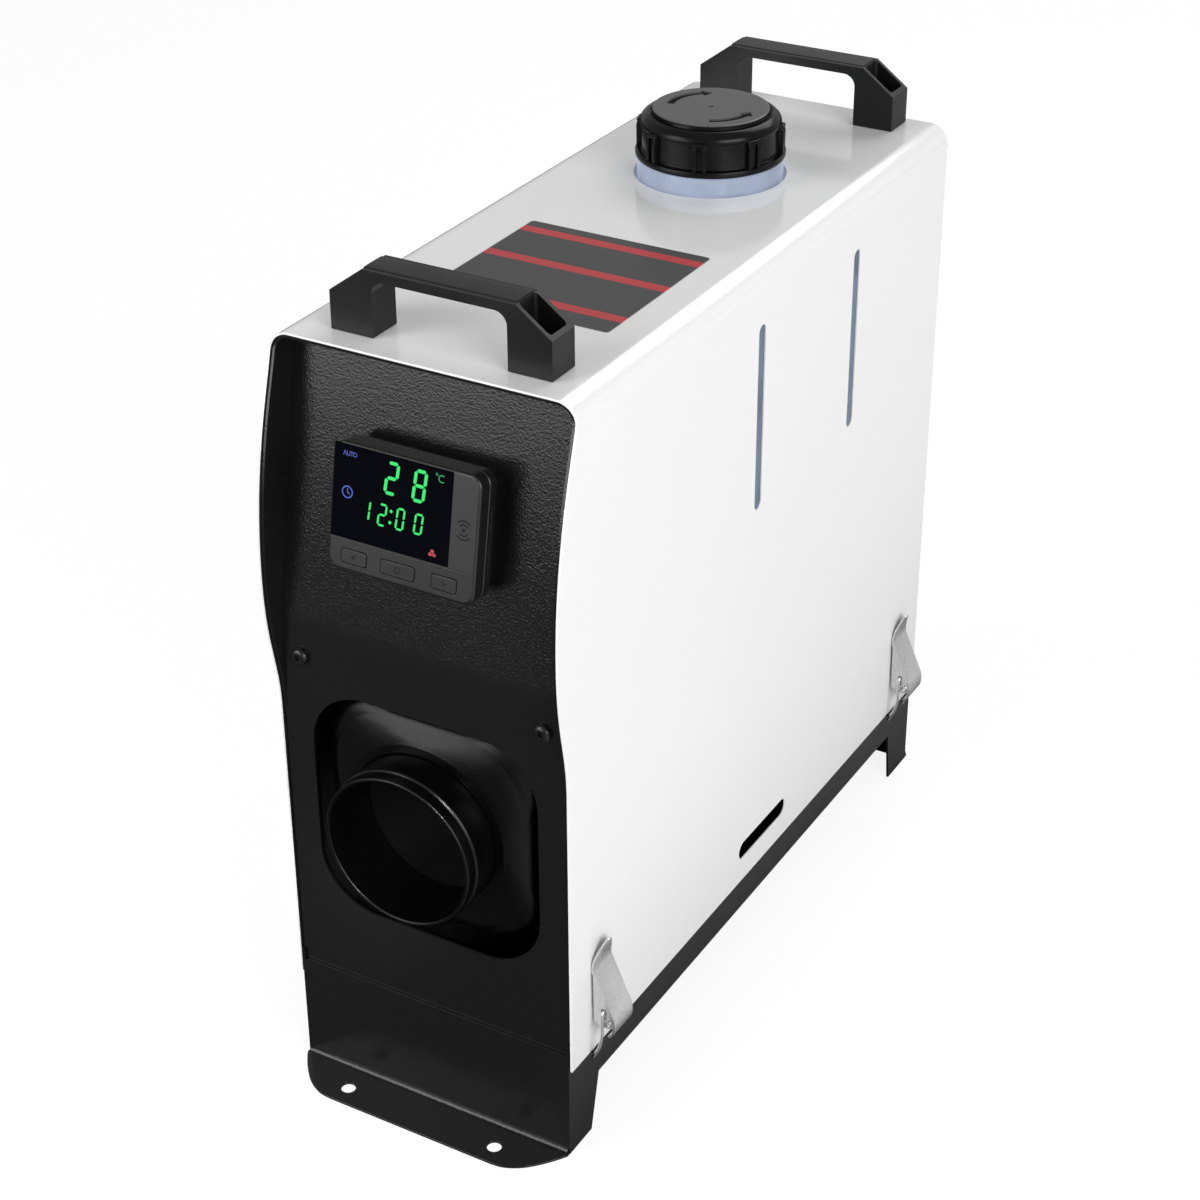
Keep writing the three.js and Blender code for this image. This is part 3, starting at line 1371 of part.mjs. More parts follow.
function makeIntakeGrille() {
  const from = casingRear + FIT;
  const to = from + GRILLE_THICKNESS;
  const outside = roundedRectangle(0, heaterAxis, CASING_SIZE, CASING_SIZE, CASING_CORNER_RADIUS);
  const frame = cut(
    prism("y", outside, from, to, 4),
    rod("y", [0, 0, heaterAxis], CASING_SIZE - 10, from - 1, to + 1, 32),
  );
  const span = casingHalf - 2;
  const bars = Array.from({ length: GRILLE_BARS }, (_, k) => {
    const z = heaterAxis + ((k - (GRILLE_BARS - 1) / 2) * (CASING_SIZE - 20)) / GRILLE_BARS;
    const reach = Math.sqrt(span * span - (z - heaterAxis) ** 2);
    return box(-reach, reach, from, to, z - GRILLE_BAR / 2, z + GRILLE_BAR / 2);
  });
  const post = box(-GRILLE_BAR / 2, GRILLE_BAR / 2, from, to, heaterAxis - span, heaterAxis + span);
  return join(frame, ...bars, post);
}

function makeControlBoard() {
  const ceiling = heaterAxis + casingInner - FIT;
  const top = heaterAxis + casingInner - BOARD_DROP;
  const middle = (impellerFront + motorRear) / 2;
  const x = BOARD_WIDTH / 2;
  const y = BOARD_LENGTH / 2;
  const board = box(-x, x, middle - y, middle + y, top - BOARD_THICKNESS, top);
  const postX = x - BOARD_POST_INSET;
  const postY = y - BOARD_POST_INSET;
  const post = (sx, sy) => {
    const at = [sx * postX, middle + sy * postY, 0];
    return rod("z", at, BOARD_POST_DIAMETER, top - 1, ceiling, 8);
  };
  const posts = [-1, 1].flatMap((sx) => [-1, 1].map((sy) => post(sx, sy)));
  const under = top - BOARD_THICKNESS;
  const c = CHIP_SIZE / 2;
  const chip = box(-c, c, middle - CHIP_SIZE, middle, under - CHIP_HEIGHT, top - 1);
  const canAt = [CAPACITOR_DIAMETER * 1.75, middle + CAPACITOR_DIAMETER * 1.5, 0];
  const capacitor = rod("z", canAt, CAPACITOR_DIAMETER, under - CAPACITOR_HEIGHT, top - 1, 12);
  return join(board, ...posts, chip, capacitor);
}

function makeBracket() {
  const half = casingHalf - BRACKET_INSET;
  const front = footFront - BRACKET_FRONT_MARGIN;
  const rear = footRear + BRACKET_REAR_MARGIN;
  const foot = trayFloorTop + FIT;
  const section = outline([
    [-half, bracketTop],
    [-half, foot],
    [BRACKET_FOOT - half, foot],
    [BRACKET_FOOT - half, foot + BRACKET_PLATE],
    [BRACKET_PLATE - half, foot + BRACKET_PLATE],
    [BRACKET_PLATE - half, bracketTop - BRACKET_PLATE],
    [half - BRACKET_PLATE, bracketTop - BRACKET_PLATE],
    [half - BRACKET_PLATE, foot + BRACKET_PLATE],
    [half - BRACKET_FOOT, foot + BRACKET_PLATE],
    [half - BRACKET_FOOT, foot],
    [half, foot],
    [half, bracketTop],
  ]);
  const plateUnder = bracketTop - BRACKET_PLATE;
  const holes = [
    [exhaustY, EXHAUST_DIAMETER],
    [combustionAirY, COMBUSTION_AIR_DIAMETER],
    [fuelInletY, HOSE_DIAMETER],
  ].map(([y, diameter]) => rod("z", [0, y, 0], diameter + 2 * FIT, plateUnder - 1, bracketTop + 1, 16));
  return cut(prism("y", section, front, rear), ...holes);
}

/** Straight pipe from under the exchanger's foot through the bracket and the tray's floor. */
function makePipe(y, diameter) {
  const top = footBottom - FIT;
  const solid = rod("z", [0, y, 0], diameter, PIPE_GROUND_GAP, top, 16);
  return cut(solid, rod("z", [0, y, 0], diameter - 2 * PIPE_WALL, PIPE_GROUND_GAP - 1, top + 1, 16));
}

// -----------------------------------------------------------------------------------------------
// Wiring
// -----------------------------------------------------------------------------------------------

function makeGland() {
  const at = [-glandX, 0, GLAND_HEIGHT];
  const flange = backPanelInner + SHEET + FIT;
  const inner = backPanelInner - GLAND_LENGTH / 2;
  const bore = LOOM_DIAMETER + 6 * FIT;
  const solid = turned(
    "y",
    at,
    [
      [0, inner],
      [GLAND_DIAMETER / 2 - 2, inner],
      [GLAND_DIAMETER / 2 - 2, flange],
      [GLAND_DIAMETER / 2, flange],
      [GLAND_DIAMETER / 2, flange + 3],
      [bore / 2 + 2, flange + GLAND_LENGTH / 2],
      [0, flange + GLAND_LENGTH / 2],
    ],
    12,
  );
  return cut(solid, rod("y", at, bore, inner - 1, REAR + GLAND_LENGTH, 8));
}

function makeLoom() {
  const side = -(casingHalf + linerHalf) / 2;
  const gland = backPanelInner - GLAND_LENGTH / 2 + 4;
  const end = casingRear - 30;
  return tube(
    [
      [-glandX, gland, GLAND_HEIGHT],
      [-glandX, gland - 14, GLAND_HEIGHT],
      [(side - glandX) / 2, gland - 34, GLAND_HEIGHT + 12],
      [side, gland - 52, GLAND_HEIGHT + 36],
      [side, end + 8, heaterAxis - 24],
      [side, end - 4, heaterAxis - 15],
      [-casingHalf - LOOM_DIAMETER / 2, end - 7, heaterAxis - 14],
      [-casingHalf - FIT, end - 7, heaterAxis - 14],
    ],
    LOOM_DIAMETER,
    6,
    18,
  );
}

// -----------------------------------------------------------------------------------------------
// Controller: drawn upright around its middle, then leaned back on the panel
// -----------------------------------------------------------------------------------------------

const cradleFront = -FIT - CRADLE_DEPTH;
const housingBack = cradleFront - FIT;
const housingFront = housingBack - CONTROLLER_DEPTH;
const screenX = -CONTROLLER_WIDTH / 2 + SCREEN_MARGIN + SCREEN_WIDTH / 2;
const screenZ = CONTROLLER_HEIGHT / 2 - SCREEN_MARGIN - SCREEN_HEIGHT / 2;
const buttonZ = BUTTON_RISE - CONTROLLER_HEIGHT / 2;

function makeCradle() {
  const width = CONTROLLER_WIDTH - 2 * CRADLE_INSET;
  const height = CONTROLLER_HEIGHT - 2 * CRADLE_INSET;
  const plate = prism("y", roundedRectangle(0, 0, width, height, CONTROLLER_RADIUS), cradleFront, -FIT, 4);
  const tabUnder = -CONTROLLER_HEIGHT / 2 - CRADLE_TAB_DROP;
  const tabLeft = CRADLE_TAB_OFFSET - CRADLE_TAB_WIDTH / 2;
  const tabRight = tabLeft + CRADLE_TAB_WIDTH;
  const tab = box(tabLeft, tabRight, cradleFront, -FIT, tabUnder, CRADLE_INSET - height / 2);
  return join(plate, tab);
}

function makeHousing() {
  const bevel = CONTROLLER_BEVEL;
  const shape = roundedRectangle(
    0,
    0,
    CONTROLLER_WIDTH - 2 * bevel,
    CONTROLLER_HEIGHT - 2 * bevel,
    CONTROLLER_RADIUS - bevel,
  );
  const geometry = new THREE.ExtrudeGeometry(shape, {
    depth: CONTROLLER_DEPTH - 2 * bevel,
    bevelThickness: bevel,
    bevelSize: bevel,
    bevelSegments: 2,
    curveSegments: 3,
  });
  geometry.applyMatrix4(new THREE.Matrix4().makeBasis(X_AXIS, Z_AXIS, Y_AXIS.clone().negate()));
  geometry.translate(0, housingBack - bevel, 0);
  const recess = box(
    screenX - SCREEN_WIDTH / 2 - FIT,
    screenX + SCREEN_WIDTH / 2 + FIT,
    housingFront - 1,
    housingFront + SCREEN_THICKNESS + FIT,
    screenZ - SCREEN_HEIGHT / 2 - FIT,
    screenZ + SCREEN_HEIGHT / 2 + FIT,
  );
  const wellFloor = housingFront - BUTTON_PROUD + BUTTON_DEPTH + BUTTON_TRAVEL + FIT;
  const wells = BUTTONS.map(({ x, width }) =>
    prism(
      "y",
      roundedRectangle(x, buttonZ, width + 2 * FIT, BUTTON_HEIGHT + 2 * FIT, 1.2 + FIT),
      housingFront - 1,
      wellFloor,
      2,
    ),
  );
  return cut(solidOf(geometry), recess, ...wells);
}

function makeScreen() {
  return box(
    screenX - SCREEN_WIDTH / 2,
    screenX + SCREEN_WIDTH / 2,
    housingFront,
    housingFront + SCREEN_THICKNESS,
    screenZ - SCREEN_HEIGHT / 2,
    screenZ + SCREEN_HEIGHT / 2,
  );
}

function makeButton({ x, width }) {
  const face = housingFront - BUTTON_PROUD;
  return prism("y", roundedRectangle(x, buttonZ, width, BUTTON_HEIGHT, 1.2), face, face + BUTTON_DEPTH, 2);
}

// -----------------------------------------------------------------------------------------------
// Toggle latch: drawn for the right side with x = 0 on the cover and z = 0 at its lower edge
// -----------------------------------------------------------------------------------------------

function latchPlaces() {
  const front = FRONT + LATCH_FRONT_SETBACK;
  const rear = REAR - LATCH_REAR_SETBACK;
  return [
    { name: "front_right", side: 1, y: front },
    { name: "rear_right", side: 1, y: rear },
    { name: "front_left", side: -1, y: front },
    { name: "rear_left", side: -1, y: rear },
  ];
}

const leverHalf = LATCH_WIDTH / 2;
const cheekInner = leverHalf - LATCH_SHEET;
const earOuter = cheekInner - FIT - WIRE_DIAMETER / 2;
const pivotAt = [PIVOT.x, 0, PIVOT.z];

function makeLatchPlate() {
  const back = FIT;
  const front = back + LATCH_SHEET;
  const base = box(back, front, -earOuter, earOuter, PIVOT.z + 4.4, PIVOT.z + 21);
  const ear = new THREE.Shape();
  ear.moveTo(back, PIVOT.z + 15);
  ear.lineTo(back, PIVOT.z + 4.4);
  ear.absarc(PIVOT.x, PIVOT.z, EAR_RADIUS, -Math.PI * 0.75, Math.PI / 3, false);
  ear.closePath();
  const ears = [
    prism("y", ear, earOuter - LATCH_SHEET, earOuter, 5),
    prism("y", ear, -earOuter, LATCH_SHEET - earOuter, 5),
  ];
  const pin = rod("y", pivotAt, PIVOT_DIAMETER, -leverHalf, leverHalf, 8);
  return join(base, ...ears, pin);
}

function makeLever() {
  const tipZ = LEVER_TIP.z;
  const bendTop = [1.4, tipZ - 13.5];
  const shoulder = [PIVOT.x + 3.3, PIVOT.z + 3.2];
  const chin = [PIVOT.x + 3.7, PIVOT.z - 3.1];
  const lip = [PIVOT.x + 0.5, PIVOT.z - 8.3];
  const bend = strip([lip, chin, shoulder, bendTop, [2.1, tipZ - 7.5], [LEVER_TIP.x, tipZ]], LATCH_SHEET);
  const face = prism("y", bend, -leverHalf, leverHalf);
  const cheek = outline([
    [1.6, PIVOT.z - 1],
    [PIVOT.x - 3, PIVOT.z - 2.5],
    [PIVOT.x + 1.9, PIVOT.z - 2.4],
    chin,
    shoulder,
    bendTop,
    [1.2, tipZ - 15],
  ]);
  const cheeks = [prism("y", cheek, cheekInner, leverHalf), prism("y", cheek, -leverHalf, -cheekInner)];
  const tipHalf = LEVER_TIP_WIDTH / 2;
  const tongue = outline([
    [-leverHalf, 0],
    [leverHalf, 0],
    [leverHalf, tipZ - 12.5],
    [leverHalf * 0.84, tipZ - 8.5],
    [leverHalf * 0.46, tipZ - 3],
    [tipHalf, tipZ - 0.6],
    [tipHalf * 0.5, tipZ + 0.6],
    [-tipHalf * 0.5, tipZ + 0.6],
    [-tipHalf, tipZ - 0.6],
    [-leverHalf * 0.46, tipZ - 3],
    [-leverHalf * 0.84, tipZ - 8.5],
    [-leverHalf, tipZ - 12.5],
  ]);
  const eyeAt = [EYE.x, 0, EYE.z];
  return cut(
    join(face, ...cheeks).intersect(prism("x", tongue, -LATCH_WIDTH, 2 * LATCH_WIDTH)),
    rod("y", pivotAt, PIVOT_DIAMETER + 2.6 * FIT, -LATCH_WIDTH, LATCH_WIDTH, 8),
    rod("y", eyeAt, WIRE_DIAMETER + 2.6 * FIT, -LATCH_WIDTH, LATCH_WIDTH, 8),
  );
}

function makeBail() {
  const legY = leverHalf + 0.5 + WIRE_DIAMETER / 2;
  const endY = earOuter + FIT;
  const bar = { x: 0.8, z: keeperUnder - COVER_BOTTOM - BAIL_PLAY - WIRE_DIAMETER / 2 };
  const half = [
    [EYE.x, endY, EYE.z],
    [EYE.x, legY - 1, EYE.z - 0.05],
    [EYE.x, legY, EYE.z - 1.3],
    [EYE.x, legY, EYE.z - 8],
    [EYE.x - 0.2, legY, 12],
    [EYE.x - 1.6, legY, 5],
    [bar.x + 1.7, legY, bar.z + 3.2],
    [bar.x + 0.2, legY - 1.1, bar.z + 0.3],
    [bar.x, legY - 3.4, bar.z],
  ];
  const mirrored = half.map(([x, y, z]) => [x, -y, z]).reverse();
  return tube([...half, ...mirrored], WIRE_DIAMETER, 5, 34);
}

// -----------------------------------------------------------------------------------------------
// Assembly
// -----------------------------------------------------------------------------------------------

add("base_tray", makeTray(), "blackPowder");
add("outer_cover", makeCover(), "whitePaint");
add("front_panel", makeFrontPanel(), "blackPowder");
add("back_panel", makeBackPanel(), "blackPowder");
add("tank_shelf", makeTankShelf(), "galvanisedSteel");

for (const [end, seat, outward] of [
  ["front", panelFace - FIT, -1],
  ["back", backPanelInner + SHEET + FIT, 1],
]) {
  const screw = makePanelScrew(seat, outward);
  for (const { side, x } of panelScrewPlaces()) {
    const place = new THREE.Group();
    place.position.set(x, 0, panelScrewZ);
    heater.add(place);
    add(`${end}_panel_screw_${side < 0 ? "left" : "right"}`, screw, "blackSteel", place);
  }
}

const handle = makeHandle();
const handleScrew = makeHandleScrew();
for (const { name, x, y } of handlePlaces()) {
  const place = new THREE.Group();
  place.position.set(x, y, COVER_TOP + FIT);
  heater.add(place);
  add(name, handle, "blackPlastic", place);
  for (const side of [-1, 1]) {
    const screwPlace = new THREE.Group();
    screwPlace.position.set(side * handleScrewX, 0, HANDLE_POCKET_FLOOR + FIT);
    place.add(screwPlace);
    add(`${name}_screw_${side < 0 ? "left" : "right"}`, handleScrew, "blackSteel", screwPlace);
  }
}

add("top_label", makeLabel(), "label");
add("fuel_tank", makeTank(), "tankPlastic");
add("cap_seal", makeCapSeal(), "rubber");
add("fuel_cap", makeCap(), "blackPlastic");
add("fuel_pump", makePump(), "brightSteel");
add("pump_clamp", makePumpClamp(), "rubber");
add("fuel_supply_hose", makeSupplyHose(), "rubber");
add("fuel_feed_hose", makeFeedHose(), "rubber");

add("outlet_duct", makeDuct(), "blackPlastic");
add("heater_nose", makeNose(), "blackPlastic");
add("heater_casing_upper", makeCasingHalf(1), "blackPlastic");
add("heater_casing_lower", makeCasingHalf(-1), "blackPlastic");
add("heat_exchanger", makeExchanger(), "castAluminium");
add("burner_tube", makeBurner(), "galvanisedSteel");
add("glow_plug", makeGlowPlug(), "brightSteel");
add("combustion_impeller", makeImpeller(), "castAluminium");
add("motor_shaft", makeShaft(), "brightSteel");
add("fan_motor", makeMotor(), "galvanisedSteel");
add("blower_wheel", makeBlower(), "blackPlastic");
add("intake_grille", makeIntakeGrille(), "blackPlastic");
add("control_board", makeControlBoard(), "circuitBoard");
add("heater_bracket", makeBracket(), "blackPowder");
add("exhaust_pipe", makePipe(exhaustY, EXHAUST_DIAMETER), "galvanisedSteel");
add("combustion_air_pipe", makePipe(combustionAirY, COMBUSTION_AIR_DIAMETER), "blackPlastic");
add("cable_gland", makeGland(), "rubber");
add("wiring_loom", makeLoom(), "rubber");

const controllerZ = (foldZ + COVER_TOP) / 2;
const controller = new THREE.Group();
controller.position.set(0, panelFace + (controllerZ - foldZ) * Math.tan(lean), controllerZ);
controller.rotation.x = -lean;
heater.add(controller);
add("controller_cradle", makeCradle(), "blackPlastic", controller);
add("controller_housing", makeHousing(), "greyPlastic", controller);
add("controller_screen", makeScreen(), "screenGlass", controller);
for (const button of BUTTONS) {
  add(button.name, makeButton(button), "greyPlastic", controller);
}

const latchPlate = makeLatchPlate();
const lever = makeLever();
const bail = makeBail();
for (const { name, side, y } of latchPlaces()) {
  const place = new THREE.Group();
  place.position.set(side * coverHalf, y, COVER_BOTTOM);
  place.scale.x = side;
  heater.add(place);
  add(`latch_plate_${name}`, latchPlate, "brightSteel", place);
  add(`latch_lever_${name}`, lever, "brightSteel", place);
  add(`latch_bail_${name}`, bail, "brightSteel", place);
}

export default heater;
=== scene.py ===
"""Portable diesel air heater: white steel cover, black front and tray, fuel tank with screw cap.

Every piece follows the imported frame. Shapes are written in millimetres and stored in metres.
"""

import math

import bmesh
import bpy
from mathutils import Matrix, Vector


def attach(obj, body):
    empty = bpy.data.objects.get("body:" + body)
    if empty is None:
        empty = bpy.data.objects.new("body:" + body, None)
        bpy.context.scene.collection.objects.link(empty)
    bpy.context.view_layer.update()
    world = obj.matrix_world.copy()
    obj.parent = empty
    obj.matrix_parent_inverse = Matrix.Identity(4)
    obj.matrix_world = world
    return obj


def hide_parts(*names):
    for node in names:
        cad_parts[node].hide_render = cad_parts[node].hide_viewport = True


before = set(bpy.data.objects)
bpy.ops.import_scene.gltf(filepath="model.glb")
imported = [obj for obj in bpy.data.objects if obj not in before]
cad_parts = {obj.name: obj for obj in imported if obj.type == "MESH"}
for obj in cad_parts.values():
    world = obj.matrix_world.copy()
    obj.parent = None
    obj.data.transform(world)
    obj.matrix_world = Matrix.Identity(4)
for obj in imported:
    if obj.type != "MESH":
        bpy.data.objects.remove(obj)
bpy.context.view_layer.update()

MM = 0.001

# ------------------------------------------------------------------------------------------
# Sizes of the heater, the same as the frame's
# ------------------------------------------------------------------------------------------

FIT = 0.3
SHEET = 1.2
COVER_HALF = 75.0
COVER_TOP = 379.0
COVER_BOTTOM = 49.0
CORNER_RADIUS = 10.0
FRONT = -189.0
REAR = 189.0
EDGE_STRAIGHT_Y = FRONT + 0.3
EDGE_TOP_Y = FRONT + 11.4
WING_BULGE = 7.3
FOLD_Z = 243.0
WING_FOOT_Z = FOLD_Z - 44
WING_PEAK_Z = FOLD_Z + 24
WING_TOP_Z = COVER_TOP - CORNER_RADIUS / 2
LEAN = math.radians(10.3)
PANEL_Y = FRONT + SHEET + FIT
TRAY_FLOOR_TOP = 31.2
RAIL_TOP = 63.0
LINER_HALF = COVER_HALF - SHEET - FIT
RAIL_INNER = LINER_HALF - SHEET
AXIS_Z = 158.0
FILLER_Y = 75.5
COLLAR_TOP = 387.7
CAP_BOTTOM = COLLAR_TOP + FIT
CAP_HEIGHT = 23.0
CAP_TOP = CAP_BOTTOM + CAP_HEIGHT


# ------------------------------------------------------------------------------------------
# Making pieces
# ------------------------------------------------------------------------------------------


def new_piece(name, points, faces):
    """Mesh object from points in millimetres; its faces are turned outwards."""
    mesh = bpy.data.meshes.new(name)
    mesh.from_pydata([Vector(p) * MM for p in points], [], faces)
    work = bmesh.new()
    work.from_mesh(mesh)
    bmesh.ops.remove_doubles(work, verts=work.verts, dist=1e-6)
    bmesh.ops.recalc_face_normals(work, faces=work.faces)
    work.to_mesh(mesh)
    work.free()
    piece = bpy.data.objects.new(name, mesh)
    bpy.context.scene.collection.objects.link(piece)
    return piece


def rounded_rectangle(a, b, width, height, radius, steps=8):
    """Outline of a rectangle with round corners around (a, b)."""
    points = []
    for corner, (side_a, side_b) in enumerate(((1, -1), (1, 1), (-1, 1), (-1, -1))):
        middle_a = a + side_a * (width / 2 - radius)
        middle_b = b + side_b * (height / 2 - radius)
        for step in range(steps + 1):
            angle = math.pi / 2 * (corner - 1 + step / steps)
            points.append((middle_a + radius * math.cos(angle), middle_b + radius * math.sin(angle)))
    return points


def placed(axis, a, b, along):
    """Point of an outline that is drawn in the plane across an axis."""
    if axis == "x":
        return (along, a, b)
    if axis == "y":
        return (a, along, b)
    return (a, b, along)


def prism(name, axis, outline, start, end):
    """Straight piece between two planes across an axis."""
    count = len(outline)
    points = [placed(axis, a, b, start) for a, b in outline]
    points += [placed(axis, a, b, end) for a, b in outline]
    faces = [tuple(range(count)), tuple(range(2 * count - 1, count - 1, -1))]
    faces += [(k, (k + 1) % count, count + (k + 1) % count, count + k) for k in range(count)]
    return new_piece(name, points, faces)


def block(name, low, high):
    """Block between two corners."""
    outline = [(low[0], low[1]), (high[0], low[1]), (high[0], high[1]), (low[0], high[1])]
    return prism(name, "z", outline, low[2], high[2])


def turned(name, axis, centre, profile, segments=64):
    """Turned piece: the profile is a closed run of (radius, place along the axis)."""
    points, faces = [], []
    count = len(profile)
    for segment in range(segments):
        angle = 2 * math.pi * segment / segments
        for radius, along in profile:
            a, b = radius * math.cos(angle), radius * math.sin(angle)
            x, y, z = placed(axis, a, b, along)
            points.append((x + centre[0], y + centre[1], z + centre[2]))
    for segment in range(segments):
        here, there = segment * count, (segment + 1) % segments * count
        for k in range(count):
            n = (k + 1) % count
            if profile[k][0] == 0 and profile[n][0] == 0:
                continue
            faces.append((here + k, here + n, there + n, there + k))
    piece = new_piece(name, points, faces)
    tidy = bmesh.new()
    tidy.from_mesh(piece.data)
    bmesh.ops.dissolve_degenerate(tidy, dist=1e-7, edges=tidy.edges)
    tidy.to_mesh(piece.data)
    tidy.free()
    return piece


def lofted(name, axis, rings, closed=False):
    """Skin over outlines of equal count, each with its place along the axis; open skins get flat ends."""
    count, total = len(rings[0][1]), len(rings)
    points = [placed(axis, a, b, along) for along, outline in rings for a, b in outline]
    faces = []
    for ring in range(total if closed else total - 1):
        here, there = ring * count, (ring + 1) % total * count
        for k in range(count):
            after = (k + 1) % count
            faces.append((here + k, here + after, there + after, there + k))
    if not closed:
        faces += [tuple(range(count)), tuple(range((total - 1) * count, total * count))]
    return new_piece(name, points, faces)


def drilled_bar(name, axis, centre, diameter, start, end, segments=48):
    """Round bar between two planes, used whole or as a drill."""
    outline = [
        (
            diameter / 2 * math.cos(2 * math.pi * k / segments),
            diameter / 2 * math.sin(2 * math.pi * k / segments),
        )
        for k in range(segments)
    ]
    piece = prism(name, axis, outline, start, end)
    piece.data.transform(Matrix.Translation(Vector(centre) * MM))
    return piece


def smooth_path(points, steps):
    """Points along a centripetal Catmull-Rom line through the given ones."""
    line = [Vector(p) for p in points]
    line = [2 * line[0] - line[1], *line, 2 * line[-1] - line[-2]]
    path = []
    for k in range(1, len(line) - 2):
        p0, p1, p2, p3 = line[k - 1 : k + 3]
        t0, t1 = 0.0, max((p1 - p0).length, 1e-6) ** 0.5
        t2 = t1 + max((p2 - p1).length, 1e-6) ** 0.5
        t3 = t2 + max((p3 - p2).length, 1e-6) ** 0.5
        for step in range(steps):
            t = t1 + (t2 - t1) * step / steps
            a1 = p0 * (t1 - t) / (t1 - t0) + p1 * (t - t0) / (t1 - t0)
            a2 = p1 * (t2 - t) / (t2 - t1) + p2 * (t - t1) / (t2 - t1)
            a3 = p2 * (t3 - t) / (t3 - t2) + p3 * (t - t2) / (t3 - t2)
            b1 = a1 * (t2 - t) / (t2 - t0) + a2 * (t - t0) / (t2 - t0)
            b2 = a2 * (t3 - t) / (t3 - t1) + a3 * (t - t1) / (t3 - t1)
            path.append(b1 * (t2 - t) / (t2 - t1) + b2 * (t - t1) / (t2 - t1))
    path.append(line[-2])
    return path


def flat_path(points, steps):
    """Smooth run through points of a plane."""
    return [(p.x, p.y) for p in smooth_path([(a, b, 0) for a, b in points], steps)]


def wire(name, points, diameter, sides=16, steps=6):
    """Round wire or hose through points, closed at both ends."""
    path = smooth_path(points, steps)
    tangents = []
    for k in range(len(path)):
        tangents.append((path[min(k + 1, len(path) - 1)] - path[max(k - 1, 0)]).normalized())
    across = tangents[0].orthogonal().normalized()
    rings, faces = [], []
    for place, tangent in zip(path, tangents):
        across = (across - tangent * across.dot(tangent)).normalized()
        other = tangent.cross(across)
        for side in range(sides):
            angle = 2 * math.pi * side / sides
            rings.append(place + (across * math.cos(angle) + other * math.sin(angle)) * diameter / 2)
    for k in range(len(path) - 1):
        for side in range(sides):
            a, b = k * sides + side, k * sides + (side + 1) % sides
            faces.append((a, b, b + sides, a + sides))
    faces.append(tuple(range(sides - 1, -1, -1)))
    faces.append(tuple(range(len(rings) - sides, len(rings))))
    return new_piece(name, rings, faces)


def sheet_strip(line, thickness):
    """Closed outline of bent sheet to the left of a line of points."""
    points = [Vector(p) for p in line]
    normals = []
    for a, b in zip(points, points[1:]):
        run = (b - a).normalized()
        normals.append(Vector((-run.y, run.x)))
    offset = []
    for k, point in enumerate(points):
        mitre = normals[max(k - 1, 0)] + normals[min(k, len(normals) - 1)]
        offset.append(point + mitre * (2 * thickness / mitre.length_squared))
    return [tuple(p) for p in points] + [tuple(p) for p in reversed(offset)]


def evaluated_mesh(piece):
    """Plain mesh of a piece with its modifiers applied."""
    graph = bpy.context.evaluated_depsgraph_get()
    return bpy.data.meshes.new_from_object(piece.evaluated_get(graph))


def apply_modifiers(piece):
    """Replaces a piece's mesh by its finished shape."""
    shaped = evaluated_mesh(piece)
    piece.modifiers.clear()
    old = piece.data
    piece.data = shaped
    bpy.data.meshes.remove(old)
    return piece


def combine(piece, tools, operation):
    """Joins, cuts or keeps the shared part of a piece and its tools."""
    for tool in tools:
        modifier = piece.modifiers.new("shape", "BOOLEAN")
        modifier.operation = operation
        modifier.solver = "EXACT"
        modifier.object = tool
    apply_modifiers(piece)
    for tool in tools:
        bpy.data.objects.remove(tool)
    return piece


def cut(piece, *tools):
    return combine(piece, tools, "DIFFERENCE")


def join(piece, *others):
    return combine(piece, others, "UNION")


def trim(piece, *tools):
    return combine(piece, tools, "INTERSECT")


def merge(name, pieces):
    """One piece out of several that don't touch."""
    work = bmesh.new()
    for piece in pieces:
        work.from_mesh(piece.data)
    mesh = bpy.data.meshes.new(name)
    work.to_mesh(mesh)
    work.free()
    for piece in pieces:
        bpy.data.objects.remove(piece)
    merged = bpy.data.objects.new(name, mesh)
    bpy.context.scene.collection.objects.link(merged)
    return merged


def clean_facets(piece, angle=0.6):
    """Melts the flat triangles of a cut piece into whole faces."""
    work = bmesh.new()
    work.from_mesh(piece.data)
    bmesh.ops.remove_doubles(work, verts=work.verts, dist=2e-6)
    bmesh.ops.dissolve_limit(
        work,
        angle_limit=math.radians(angle),
        verts=work.verts,
        edges=work.edges,
        use_dissolve_boundaries=False,
    )
    work.to_mesh(piece.data)
    work.free()
    return piece


def soften(piece, width, segments=2, angle=30.0):
    """Rounds the sharp edges and marks the narrow faces this makes."""
    bevel = piece.modifiers.new("soften", "BEVEL")
    bevel.width = width * MM
    bevel.segments = segments
    bevel.limit_method = "ANGLE"
    bevel.angle_limit = math.radians(angle)
    bevel.use_clamp_overlap = True
    bevel.material = 1
    bevel.miter_outer = "MITER_ARC"
    apply_modifiers(piece)
    mesh = piece.data
    # The marked faces are the ones that get the painted edge highlight.
    edge_glints = mesh.attributes.new("edge", "FLOAT", "FACE")
    for face in mesh.polygons:
        edge_glints.data[face.index].value = 1.0 if face.material_index == 1 else 0.0
        face.material_index = 0
    return piece


def shade(piece, angle=35.0):
    """Smooth shading with sharp edges kept, and flat faces kept flat."""
    mesh = piece.data
    mesh.shade_smooth()
    mesh.set_sharp_from_angle(angle=math.radians(angle))
    weighted = piece.modifiers.new("even", "WEIGHTED_NORMAL")
    weighted.keep_sharp = True
    weighted.weight = 60
    return apply_modifiers(piece)


def from_frame(node, name=None):
    """Copy of a CAD node as whole faces."""
    piece = bpy.data.objects.new(name or f"{node}_finished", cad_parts[node].data.copy())
    piece.data.materials.clear()
    for layer in list(piece.data.attributes):
        if layer.name in ("UVMap",):
            piece.data.attributes.remove(layer)
    bpy.context.scene.collection.objects.link(piece)
    return clean_facets(piece)


